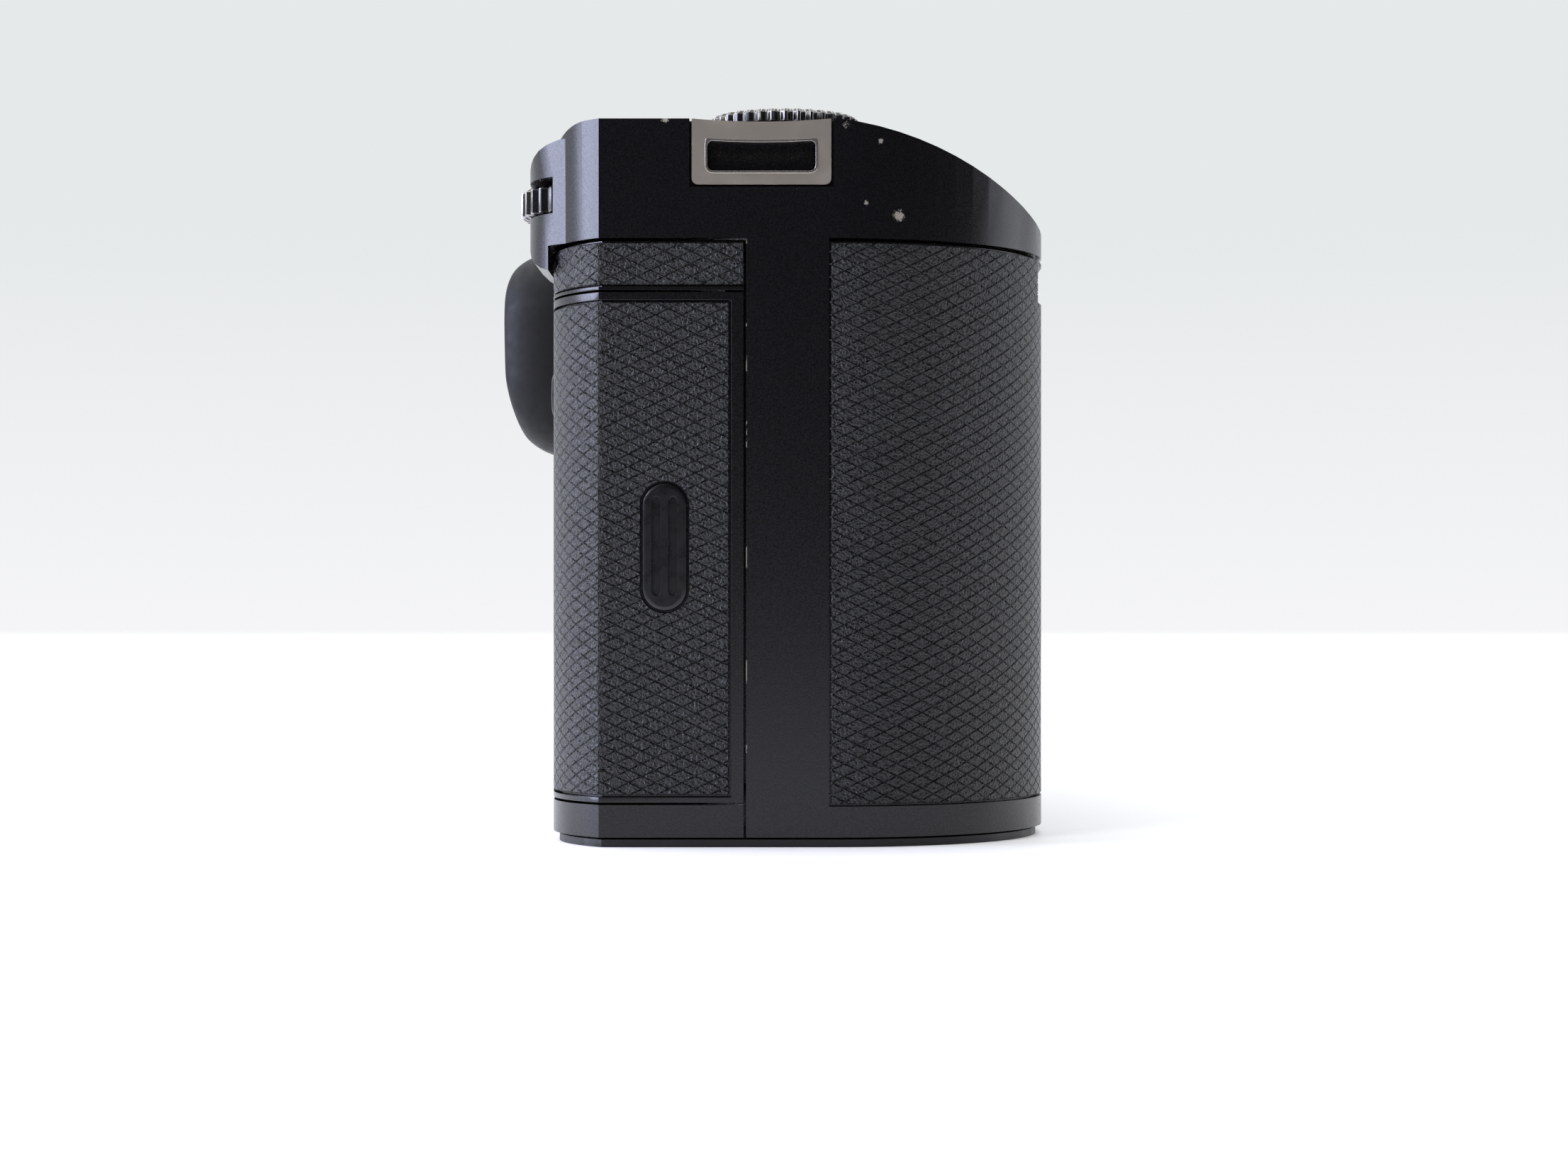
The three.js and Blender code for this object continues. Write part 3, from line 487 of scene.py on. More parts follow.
def stand(piece, middle, turn=(0, 0, 0)):
    """Turns a piece made round the origin and moves it to its place, in millimetres."""
    settle(piece)
    piece.rotation_euler = turn
    piece.location = [c * MM for c in middle]
    return settle(piece)


def drum(radius, low, high, middle, axis="Z", sides=64):
    """A closed cylinder from low to high along an axis, in millimetres; middle is its centre."""
    centre = list(middle)
    centre["XYZ".index(axis)] = (low + high) / 2
    deselect()
    bpy.ops.mesh.primitive_cylinder_add(vertices=sides, radius=radius * MM, depth=(high - low) * MM)
    return stand(bpy.context.object, centre, TURNS[axis])


def pull(piece, steps, first_size):
    """Pulls the selected face up through (height, width, depth) steps; sizes in millimetres."""
    height, width, depth = first_size
    for next_height, next_width, next_depth in steps:
        bpy.ops.mesh.extrude_region_move(
            TRANSFORM_OT_translate={"value": (0, 0, (next_height - height) * MM)})
        bpy.ops.transform.resize(
            value=(next_width / width, next_depth / depth, 1), center_override=(0, 0, 0))
        height, width, depth = next_height, next_width, next_depth


def close_up(piece):
    """Makes every face of a closed body point outwards."""
    edit(piece)
    bpy.ops.mesh.normals_make_consistent(inside=False)
    leave()
    return piece


def rounded_plate(up, across, radius, steps, segments=10):
    """A closed body from a rounded rectangle, pulled up Z through (height, half up, half across) steps."""
    deselect()
    bpy.ops.mesh.primitive_plane_add(size=2)
    piece = bpy.context.object
    piece.scale = (up * MM, across * MM, 1)
    settle(piece)
    edit(piece, "VERT")
    bpy.ops.mesh.bevel(offset=radius * MM, segments=segments, affect="VERTICES")
    bpy.ops.mesh.select_all(action="SELECT")
    pull(piece, steps, (0, up, across))
    leave()
    return close_up(piece)


def turned(steps, sides=64, ridges=0, depth=0.0):
    """A closed body turned about Z through (height, radius) steps, fluted along its whole rim if asked."""
    height, radius = steps[0]
    deselect()
    bpy.ops.mesh.primitive_circle_add(
        vertices=4 * ridges or sides, radius=radius * MM, fill_type="NGON", location=(0, 0, height * MM))
    piece = settle(bpy.context.object)
    edit(piece, "VERT", False)
    leave()
    for i, vertex in enumerate(piece.data.vertices):
        vertex.select = bool(ridges) and i % 4 > 1
    bpy.ops.object.mode_set(mode="EDIT")
    if ridges:
        share = 1 - depth / max(r for _, r in steps)
        bpy.ops.transform.resize(value=(share, share, 1), center_override=(0, 0, 0))
    bpy.ops.mesh.select_all(action="SELECT")
    pull(piece, [(h, r, r) for h, r in steps[1:]], (height, radius, radius))
    leave()
    return close_up(piece)


def brick(low, high):
    """A closed box between two corners, in millimetres."""
    deselect()
    bpy.ops.mesh.primitive_cube_add(size=1, location=[(a + b) / 2 * MM for a, b in zip(low, high)])
    piece = bpy.context.object
    piece.scale = [(b - a) * MM for a, b in zip(low, high)]
    return settle(piece)


def keep(piece, name, body, slot, *nodes, finish_name=None, edge_finish=None):
    """Names a finished piece, gives it its finish and its body, and lets it stand for its nodes."""
    piece.name = name
    piece.data.name = name
    wear_finish(piece, finish_name or slot, edge_finish)
    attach(piece, body)
    if nodes:
        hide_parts(*nodes)
    return piece


def stand_in(piece, node, ending="fine", width_mm=0, segments=2, angle=32, edge_finish=None):
    """Softens a piece and keeps it in place of one node."""
    soften(piece, width_mm, segments, angle, 1 if edge_finish else 0)
    return keep(piece, node + "_" + ending, BODY_OF[node], SLOT_OF[node], node, edge_finish=edge_finish)


def gather(pieces):
    """Joins separate closed bodies into one object."""
    pick(pieces[0])
    for piece in pieces:
        piece.select_set(True)
    bpy.ops.object.join()
    return bpy.context.object


def merged_copy(node):
    """A copy of a frame node as one merged mesh with its flat areas joined."""
    mesh = frame["nodes"][node].data.copy()
    piece = bpy.data.objects.new(node + "_fine", mesh)
    bpy.context.scene.collection.objects.link(piece)
    edit(piece)
    bpy.ops.mesh.remove_doubles(threshold=0.002 * MM)
    bpy.ops.mesh.dissolve_limited(angle_limit=math.radians(0.6))
    bpy.ops.mesh.quads_convert_to_tris(ngon_method="BEAUTY")
    leave()
    return piece


def refine(node, width_mm, segments=2):
    """The finished form of a node whose shape is right: its edges rounded and its curves smoothed."""
    return stand_in(merged_copy(node), node, "fine", width_mm, segments)


# ---------- The body's outline ----------

HALF = 80.35            # half the body's width
SIDE_FRONT = -12.8      # where the flat side ends and the front rounding starts
PANEL = -21.9           # the front leather's face
BACK = 24.1             # the back face
CORNER_IN = 15          # how far the back corner's middle lies inside the side
CORNER_RADIUS = 19.75   # larger than CORNER_IN, so the corner meets the flat side in a crease
GRIP_FRONT = -42.1
GRIP_ROUND_X = -53.35   # where the grip's big rounding meets its front
GRIP_INNER = -38        # the grip's side towards the lens
GRIP_RADIUS = 8
FILLET = 4              # between the grip and the front
FAR_CORNER_X = 68.35
LENS_X = 8
LENS_Z = 43
BOSS_RADIUS = 40.5      # of the round seat under the lens mount
SKIN = 0.7              # thickness of the leather
GAP = 0.3               # between pieces


def arc(x, y, across, along, first, last, steps=24):
    """Points of an elliptical arc, in degrees."""
    for i in range(steps + 1):
        angle = math.radians(first + (last - first) * i / steps)
        yield Vector((x + across * math.cos(angle), y + along * math.sin(angle)))


def outline_points():
    """The body's plan from the back, round the grip side and the grip, to the far side."""
    crease = math.degrees(math.acos(CORNER_IN / CORNER_RADIUS))
    corner_x = -HALF + CORNER_IN
    yield Vector((corner_x + 20, BACK))
    yield from arc(corner_x, BACK - CORNER_RADIUS, CORNER_RADIUS, CORNER_RADIUS, 90, 180 - crease)
    yield from arc(GRIP_ROUND_X, SIDE_FRONT, HALF + GRIP_ROUND_X, SIDE_FRONT - GRIP_FRONT, 180, 270, 48)
    inner = GRIP_INNER - GRIP_RADIUS
    yield from arc(inner, GRIP_FRONT + GRIP_RADIUS, GRIP_RADIUS, GRIP_RADIUS, 270, 360)
    yield from arc(GRIP_INNER + FILLET, PANEL - FILLET, FILLET, FILLET, 180, 90)
    yield from arc(FAR_CORNER_X, SIDE_FRONT, HALF - FAR_CORNER_X, SIDE_FRONT - PANEL, 270, 360)
    yield Vector((HALF, SIDE_FRONT + 10))


def span_of(node):
    """A node's lowest and highest corners in millimetres."""
    low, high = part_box(node)
    return low / MM, high / MM


def placed(node):
    """A node's lowest and highest corners and its middle, in millimetres."""
    low, high = span_of(node)
    return low, high, (low + high) / 2


class Outline:
    """Finds a place by its distance along the body's plan."""

    def __init__(self):
        points = list(outline_points())
        self.points = [points[0]] + [b for a, b in zip(points, points[1:]) if (b - a).length > 1e-4]
        self.reach = [0.0]
        for a, b in zip(self.points, self.points[1:]):
            self.reach.append(self.reach[-1] + (b - a).length)
        self.crease = self.at_point(Vector((-HALF, BACK - CORNER_RADIUS + self.crease_rise())))

    @staticmethod
    def crease_rise():
        return math.sqrt(CORNER_RADIUS ** 2 - CORNER_IN ** 2)

    def at_point(self, point):
        """The distance along the outline of the place nearest to a point."""
        best = (1e9, 0)
        for i, (a, b) in enumerate(zip(self.points, self.points[1:])):
            share = max(0.0, min(1.0, (point - a).dot(b - a) / (b - a).length_squared))
            gap = (a.lerp(b, share) - point).length
            best = min(best, (gap, self.reach[i] + share * (b - a).length))
        return best[1]

    def normal(self, i):
        step = self.points[i + 1] - self.points[i]
        return Vector((step.y, -step.x)).normalized()

    def place(self, reach, lift):
        """The point at a distance along the outline, lifted outwards."""
        last = len(self.points) - 2
        i = max(0, min(last, sum(1 for r in self.reach if r <= reach) - 1))
        span = self.reach[i + 1] - self.reach[i]
        share = (reach - self.reach[i]) / span
        here = self.points[i].lerp(self.points[i + 1], share)
        before = self.normal(max(i - 1, 0))
        after = self.normal(min(i + 1, last))
        middle = self.normal(i)
        start_normal = middle if before.dot(middle) < 0.9 else (before + middle).normalized()
        end_normal = middle if after.dot(middle) < 0.9 else (after + middle).normalized()
        facing = start_normal.lerp(end_normal, share).normalized()
        return here + facing * lift


OUTLINE = Outline()


def diamond_sheet(name, first, last, bottom, top):
    """A closed skin of pressed diamonds wrapped on the outline; sizes in millimetres."""
    settings = bpy.context.scene.camera_leather
    pitch, rise = settings.pitch / MM, settings.rise / MM
    width, height = last - first, top - bottom
    cells = math.ceil(width / pitch + height / rise) + 2
    deselect()
    bpy.ops.mesh.primitive_grid_add(x_subdivisions=cells, y_subdivisions=cells, size=cells)
    piece = bpy.context.object
    piece.name = name
    relief = settings.relief / MM
    for vertex in piece.data.vertices:
        a, b = vertex.co.x, vertex.co.y
        vertex.co = ((a - b) * pitch / 2 + first + width / 2, (a + b) * rise / 2 + bottom + height / 2, -SKIN)
    edit(piece)
    edges = (
        ((first, 0, 0), (-1, 0, 0)), ((last, 0, 0), (1, 0, 0)),
        ((0, bottom, 0), (0, -1, 0)), ((0, top, 0), (0, 1, 0)),
    )
    for place, facing in edges:
        bpy.ops.mesh.select_all(action="SELECT")
        bpy.ops.mesh.bisect(plane_co=place, plane_no=facing, clear_outer=True, use_fill=False)
    if first < OUTLINE.crease < last:
        bpy.ops.mesh.select_all(action="SELECT")
        bpy.ops.mesh.bisect(plane_co=(OUTLINE.crease, 0, 0), plane_no=(1, 0, 0))
    bpy.ops.mesh.select_all(action="SELECT")
    bpy.ops.mesh.extrude_region_move(TRANSFORM_OT_translate={"value": (0, 0, SKIN - relief)})
    bpy.ops.mesh.inset(thickness=settings.groove / MM, depth=relief, use_individual=True)
    leave()
    for vertex in piece.data.vertices:
        x, y = OUTLINE.place(vertex.co.x, vertex.co.z)
        vertex.co = (x * MM, y * MM, vertex.co.y * MM)
    edit(piece)
    bpy.ops.mesh.normals_make_consistent(inside=False)
    leave()
    return piece


def smooth_skin(piece):
    """Keeps the pressed lines crisp and smooths the bends."""
    pick(piece)
    bpy.ops.object.shade_smooth_by_angle(angle=math.radians(25))
    return piece


# ---------- Operators: one for each piece or group of like pieces ----------

# where the floor starts on the camera's side, where it fades out behind the body, and its glow; in metres
FLOOR = {
    "near": 0.42, "fade_from": 1.7, "fade_to": 2.6,
    "near_glow": 0.28, "far_glow": 0.7, "glow_from": 0.1, "glow_to": 1.4,
}

# name, place, what it points at, side, watts, colour; in metres
LAMPS = (
    ("soft_box_behind_left", (-0.1, 1.0, 0.42), (0, 0, 0.05), 0.7, 16, "#dbe0ff"),
    ("key_front_left", (-0.95, 0.75, 0.62), (0, 0, 0.04), 0.3, 3.9, "#ffffff"),
    ("soft_box_above", (0.3, 0.1, 1.1), (0.1, 0, 0), 1.6, 13, "#ffffff"),
    ("soft_box_front_right", (0.25, -1.1, 0.4), (0, 0, 0.05), 0.7, 1.8, "#f2f4ff"),
)

# shades of the room by how far a ray points along X, and of the wall that is seen by how far it points up;
# 0 is fully away and 1 fully towards
TENT = ((0.45, "#48474d"), (0.85, "#e8ecf2"))
WALL = ((0.49, "#f6f6f8"), (0.56, "#e6e9ea"))


def ramp(owner, factor, stops):
    """Turns a factor from -1 to 1 into a shade between two stops."""
    made = add(owner, "ShaderNodeValToRGB", {"Fac": spread(owner, factor, 0, 1, -1, 1)})
    for element, (place, shade) in zip(made.color_ramp.elements, stops):
        element.position = place
        element.color = (*linear(shade), 1)
    return made.outputs["Color"]


class CameraStage(bpy.types.Operator):
    """Make the camera, the pale floor and the studio lights"""
    bl_idname = "camera_body.stage"
    bl_label = "Stage"

    def execute(self, context):
        settings = context.scene.camera_stage
        deselect()
        eye = (-HALF * MM - settings.eye_distance, settings.eye_offset, settings.eye_height)
        bpy.ops.object.camera_add(location=eye, rotation=(math.pi / 2, 0, -math.pi / 2))
        camera = context.object
        camera.data.sensor_width = 36
        camera.data.lens = settings.focal
        camera.data.shift_y = settings.rise
        camera.data.clip_start = 0.01
        context.scene.camera = camera
        context.scene.view_settings.view_transform = "Standard"
        self.floor(settings.floor_size)
        self.room(context.scene)
        self.lamps()
        return {"FINISHED"}

    @staticmethod
    def floor(size):
        """A white card that starts in front of the body and fades into the room behind it."""
        deselect()
        bpy.ops.mesh.primitive_plane_add(size=size, location=(size / 2 - FLOOR["near"], 0, 0))
        floor = settle(bpy.context.object)
        floor.name = "floor"
        material, place = start("white_card")
        cloud = noise(material, place, 400, 2)
        base = blend_colour(material, cloud, linear("#f2f3f5"), linear("#fafafa"))
        axes = add(material, "ShaderNodeSeparateXYZ", {"Vector": place})
        far = spread(material, axes.outputs["X"], 0, 1, FLOOR["fade_from"], FLOOR["fade_to"])
        lit = spread(
            material, axes.outputs["X"], FLOOR["near_glow"], FLOOR["far_glow"], FLOOR["glow_from"],
            FLOOR["glow_to"])
        shader = add(material, "ShaderNodeBsdfPrincipled", {
            "Base Color": base, "Roughness": 0.6, "Emission Color": (1, 1, 1, 1), "Emission Strength": lit,
            "Alpha": calc(material, "SUBTRACT", 1.0, far)})
        add(material, "ShaderNodeOutputMaterial", {"Surface": shader.outputs["BSDF"]})
        floor.data.materials.append(material)

    @staticmethod
    def room(scene):
        """A light tent: dark on the camera's side, bright behind, and a pale wall where the camera looks."""
        world = bpy.data.worlds.new("light_tent")
        scene.world = world
        world.use_nodes = True
        world.node_tree.nodes.clear()
        way = add(world, "ShaderNodeSeparateXYZ", {
            "Vector": add(world, "ShaderNodeTexCoord").outputs["Generated"]}).outputs
        seen = add(world, "ShaderNodeLightPath").outputs["Is Camera Ray"]
        shade = blend_colour(world, seen, ramp(world, way["X"], TENT), ramp(world, way["Z"], WALL))
        light = add(world, "ShaderNodeBackground", {"Color": shade})
        add(world, "ShaderNodeOutputWorld", {"Surface": light.outputs["Background"]})

    @staticmethod
    def lamps():
        for name, place, aim, size, power, colour in LAMPS:
            deselect()
            bpy.ops.object.light_add(type="AREA", location=place)
            lamp = bpy.context.object
            lamp.name = name
            lamp.data.shape = "RECTANGLE"
            lamp.data.size = size
            lamp.data.size_y = size
            lamp.data.energy = power
            lamp.data.color = linear(colour)
            lamp.rotation_euler = (Vector(aim) - Vector(place)).to_track_quat("-Z", "Y").to_euler()


class CameraFrameFinishes(bpy.types.Operator):
    """Give every frame node its own finish"""
    bl_idname = "camera_body.frame_finishes"
    bl_label = "Frame finishes"

    def execute(self, context):
        for name, node in frame["nodes"].items():
            wear_finish(node, SLOT_OF[name])
        return {"FINISHED"}


# closes the line between cover and shell on the plain band of the grip side, which is one painted surface
BAND_JOINT = {"low": (-80.34, -12.5, 78.1), "high": (-79.6, -2.0, 78.92)}


class CameraShells(bpy.types.Operator):
    """Round the edges of the metal shells, covers and doors"""
    bl_idname = "camera_body.shells"
    bl_label = "Shells and covers"

    def execute(self, context):
        refine("top_cover", 0.3)
        for node in ("front_shell", "rear_shell", "battery_door"):
            refine(node, 0.18)
        refine("card_door", 0.06)
        for node in ("connector_door_upper", "connector_door_lower"):
            refine(node, 0.45, 4)
        keep(brick(BAND_JOINT["low"], BAND_JOINT["high"]), "band_joint", "camera_body", "painted_body")
        for node in ("hot_shoe", "battery_latch", "lcd_bracket"):
            refine(node, 0.15)
        return {"FINISHED"}


# where the base screws stand, by X and Y
BASE_SCREWS = ((-73, 4), (-26, -12), (-26, 16), (34, -12), (34, 16), (70, 14), (70, -9))
SCREW = {"radius": 1.5, "seat": 0.55}
THREAD = {"bore": 2.75, "pitch": 1.27, "depth": 0.43}


def cross_head_screw(seat, axis):
    """A small flat screw with a cross cut in its face; its head stands below or in front of its seat."""
    radius = SCREW["radius"]
    head = turned([(-0.1, radius - 0.35), (-0.35, radius - 0.05), (-0.45, radius - 0.2)], 32)
    for across, along in ((1.0, 0.16), (0.16, 1.0)):
        head = bore(head, brick((-across, -along, -1), (across, along, -0.2)))
    return stand(head, seat, TURNS[axis])


class CameraBase(bpy.types.Operator):
    """Sink the base screws, and cut the thread of the tripod socket"""
    bl_idname = "camera_body.base"
    bl_label = "Base, screws and tripod socket"

    def execute(self, context):
        base = merged_copy("base_plate")
        screws = []
        for x, y in BASE_SCREWS:
            base = bore(base, drum(SCREW["radius"] + 0.15, -1, SCREW["seat"], (x, y, 0), sides=32))
            screws.append(cross_head_screw((x, y, SCREW["seat"]), "Z"))
        stand_in(base, "base_plate", "fine", 0.15)
        keep(soften(gather(screws), 0), "base_screws", BODY_OF["base_plate"], "bare_steel")
        low, high, middle = placed("tripod_socket")
        outer = (high.x - low.x) / 2
        steps = [(high.z, outer), (low.z, outer), (low.z, THREAD["bore"] + THREAD["depth"])]
        height = low.z + THREAD["depth"]
        while height < high.z - THREAD["pitch"]:
            steps.append((height, THREAD["bore"]))
            steps.append((height + THREAD["pitch"] / 2, THREAD["bore"] + THREAD["depth"]))
            height += THREAD["pitch"]
        nut = stand(turned(steps), (middle.x, middle.y, 0))
        stand_in(nut, "tripod_socket", "threaded", 0.06)
        return {"FINISHED"}


class CameraSmallParts(bpy.types.Operator):
    """Round the edges of the battery, cards, brackets and the parts seen through the lens mount"""
    bl_idname = "camera_body.small_parts"
    bl_label = "Inner and small parts"

    def execute(self, context):
        for node in ("battery", "memory_card_1", "memory_card_2", "lcd_panel", "evf_housing"):
            refine(node, 0.5, 3)
        for node in ("card_slot_unit", "card_door_arm", "shutter_frame", "sensor_unit", "lens_baffle",
                     "lcd_glass", "evf_lens", "joystick_gimbal", "rear_dial_bracket", "front_dial_bracket",
                     "lens_lock_pin", "main_board"):
            refine(node, 0.12)
        refine("shutter_curtain", 0.05)
        return {"FINISHED"}


class CameraLeather(bpy.types.Operator):
    """Wrap the pressed leather skins round the body"""
    bl_idname = "camera_body.leather"
    bl_label = "Leather"

    def execute(self, context):
        for name, make in LEATHER.items():
            keep(smooth_skin(make(name)), name + "_pressed", BODY_OF[name], "grained_leather", name)
        return {"FINISHED"}


def boss_cutter():
    return drum(BOSS_RADIUS + GAP, -60, -10, (LENS_X, 0, LENS_Z), "Y", 96)


WHEEL_WINDOW = 16


def grip_leather(name):
    """The big sheet round the grip, cut round the lens boss and the front wheel's window."""
    low, high = span_of(name)
    first = OUTLINE.at_point(Vector((-HALF, SIDE_FRONT)))
    last = OUTLINE.at_point(Vector((LENS_X - 0.2, PANEL)))
    piece = bore(diamond_sheet(name, first, last, low.z, high.z), boss_cutter())
    dial_low, dial_high = span_of("front_dial")
    middle = (dial_low.x + dial_high.x) / 2
    bottom, top = dial_low.z - 2 * GAP, dial_high.z + 2 * GAP
    return bore(piece, brick(
        (middle - WHEEL_WINDOW / 2, -60, bottom), (middle + WHEEL_WINDOW / 2, -30, top)))


def front_leather(name):
    """The sheet on the far half of the front, cut round the boss, the release button and the focus lever."""
    low, high = span_of(name)
    first = OUTLINE.at_point(Vector((LENS_X + 0.2, PANEL)))
    last = OUTLINE.at_point(Vector((HALF, SIDE_FRONT)))
    piece = bore(diamond_sheet(name, first, last, low.z, high.z), boss_cutter())
    for node in ("lens_release_button", "focus_lever"):
        low, high, middle = placed(node)
        piece = bore(piece, drum((high.x - low.x) / 2 + 2 * GAP, -60, -10, middle, "Y"))
    return piece


def rear_leather_strip(name):
    """The narrow strip above the card door."""
    low, high = span_of(name)
    first = OUTLINE.at_point(Vector((high.x, BACK)))
    last = OUTLINE.at_point(Vector((-HALF, low.y)))
    return diamond_sheet(name, first, last, low.z, high.z)


def card_door_leather(name):
    """The door's sheet, cut round its finger pad."""
    low, high = span_of(name)
    pad_low, pad_high = span_of("card_door_pad")
    first = OUTLINE.at_point(Vector((high.x, BACK)))
    last = OUTLINE.at_point(Vector((-HALF, low.y)))
    piece = diamond_sheet(name, first, last, low.z, high.z)
    return bore(piece, stadium(pad_low, pad_high, GAP, (-90, -70)))


LEATHER = {
    "grip_leather": grip_leather,
    "front_leather": front_leather,
    "rear_leather_strip": rear_leather_strip,
    "card_door_leather": card_door_leather,
}


def stadium(low, high, grow, reach):
    """An upright slot shape with round ends, through X."""
    radius = (high.y - low.y) / 2 + grow
    middle = (low + high) / 2
    ends = (high.z - radius + grow, low.z + radius - grow)
    body = brick((reach[0], middle.y - radius, ends[1]), (reach[1], middle.y + radius, ends[0]))
    return weld(body, *[drum(radius, reach[0], reach[1], (0, middle.y, z), "X", 48) for z in ends])


# ---------- Controls ----------

DIAL_BOTTOM = 94.3      # the underside of the top dials


def numerals(text, size, middle, turn):
    """Paint-filled numerals lying flat on a face, as a thin solid."""
    deselect()
    bpy.ops.object.text_add()
    label = bpy.context.object
    label.data.body = text
    label.data.size = size * MM
    label.data.resolution_u = 3
    label.data.align_x = "CENTER"
    label.data.align_y = "CENTER"
    label.data.extrude = 0.02 * MM
    bpy.ops.object.convert(target="MESH")
    label = bpy.context.object
    edit(label)
    bpy.ops.mesh.remove_doubles(threshold=0.001 * MM)
    leave()
    return stand(label, middle, turn)


def top_dial(node, stem, ridges, marks, bore_radius=0):
    """A fluted dial with a chamfered rim and numbers round its face."""
    low, high, middle = placed(node)
    radius = (high.x - low.x) / 2
    top = high.z - DIAL_BOTTOM
    rim = turned([
        (0, radius - 0.5), (0.15, radius), (top - 0.55, radius), (top - 0.1, radius - 0.55),
        (top - 0.1, radius - 1.8),
    ], ridges=ridges, depth=0.62)
    cap = turned([
        (low.z - DIAL_BOTTOM, stem), (0.05, stem), (0.05, radius - 1.3), (top - 0.12, radius - 1.3),
        (top, radius - 1.45), (top, radius - 5.1), (top - 0.14, radius - 5.3), (top - 0.14, 3.2),
    ], 96)
    piece = weld(rim, cap)
    if bore_radius:
        piece = bore(piece, drum(bore_radius, -20, 20, (0, 0, 0)))
    place = (middle.x, middle.y, DIAL_BOTTOM)
    stand(piece, place)
    # the bevelled ridge edges get pale metal as a painted highlight
    stand_in(piece, node, "fluted", 0.09, 1, 28, edge_finish="painted_edge_highlight")
    labels = []
    for i, mark in enumerate(marks):
        angle = 2 * math.pi * i / len(marks)
        reach = radius - 3.2
        spot = (middle.x + reach * math.sin(angle), middle.y - reach * math.cos(angle), high.z + 0.01)
        labels.append(numerals(mark, 1.9 if len(mark) < 3 else 1.5, spot, (0, 0, angle)))
    keep(gather(labels), node + "_numbers", BODY_OF[node], SLOT_OF[node], finish_name="white_enamel")


SPEED_MARKS = ("1000", "500", "250", "125", "60", "30", "15", "8", "4", "2", "1", "4000", "2000")
EXPOSURE_MARKS = ("0", "1", "2", "3", "", "-3", "-2", "-1")


class CameraTopDials(bpy.types.Operator):
    """Make the two fluted dials on top with their numbers and the lock button"""
    bl_idname = "camera_body.top_dials"
    bl_label = "Top dials"

    def execute(self, context):
        top_dial("exposure_dial", 2.9, 36, EXPOSURE_MARKS)
        top_dial("shutter_speed_dial", 4.2, 38, SPEED_MARKS, bore_radius=2.5)
        low, high, middle = placed("dial_lock_button")
        button = turned([
            (low.z, 2.2), (high.z - 0.25, 2.2), (high.z, 1.95), (high.z, 1.6), (high.z - 0.15, 1.0),
        ])
        stand_in(stand(button, (middle.x, middle.y, 0)), "dial_lock_button", "dished")
        return {"FINISHED"}


def wheel(node, ridges):
    """A command wheel with coarse chamfered teeth, turning on its pin."""
    low, high, middle = placed(node)
    radius = (high.x - low.x) / 2
    piece = turned([
        (low.z, radius - 0.75), (low.z + 0.5, radius), (high.z - 0.5, radius), (high.z, radius - 0.75),
    ], ridges=ridges, depth=0.95)
    stand(piece, (middle.x, middle.y, 0))
    bore(piece, drum(1.5, low.z - 1, high.z + 1, middle))
    # the bevelled tooth edges get pale metal as a painted highlight
    stand_in(piece, node, "toothed", 0.1, 1, edge_finish="painted_edge_highlight")


class CameraWheels(bpy.types.Operator):
    """Make the rear and front command wheels and the eyesight wheel"""
    bl_idname = "camera_body.wheels"
    bl_label = "Command wheels"

    def execute(self, context):
        wheel("rear_dial", 34)
        wheel("front_dial", 32)
        low, high, middle = placed("diopter_dial")
        knob = turned([
            (low.x, 4.1), (high.x - 0.5, 4.15), (high.x - 0.05, 3.6), (high.x, 3.4), (high.x, 2.6),
            (high.x - 0.3, 2.3),
        ], ridges=18, depth=0.35)
        stand_in(stand(knob, (0, middle.y, middle.z), TURNS["X"]), "diopter_dial", "fluted", 0.04, 1)
        return {"FINISHED"}


# the middle of the sloping seat of the shutter button, and its tilt in radians
RELEASE = (-56, -29.2, 89.65)
RELEASE_TILT = 0.419


class CameraRelease(bpy.types.Operator):
    """Make the shutter button and the power lever on the slope"""
    bl_idname = "camera_body.release"
    bl_label = "Shutter button and power lever"

    def execute(self, context):
        lever = turned([(-0.7, 8.8), (-0.6, 9), (0.1, 9), (0.3, 8.75), (0.3, 6.2), (0.15, 5.9)], 96)
        tab = brick((-2.2, -9.9, -0.7), (2.2, -6.8, 0.6))
        lever = bore(weld(lever, soften(tab, 0.25, 3)), drum(5.1, -3, 3, (0, 0, 0)))
        stand_in(stand(lever, RELEASE, (RELEASE_TILT, 0, 0)), "power_lever", "turned", 0.06)
        button = turned([
            (-9, 2), (-5, 2), (-5, 4.6), (1.1, 4.6), (1.45, 4.25), (1.5, 3.9), (1.2, 2.4), (1.05, 1.5),
            (1.1, 1.35), (0.4, 1.2),
        ], 96)
        stand_in(stand(button, RELEASE, (RELEASE_TILT, 0, 0)), "shutter_button", "dished", 0.05)
        return {"FINISHED"}


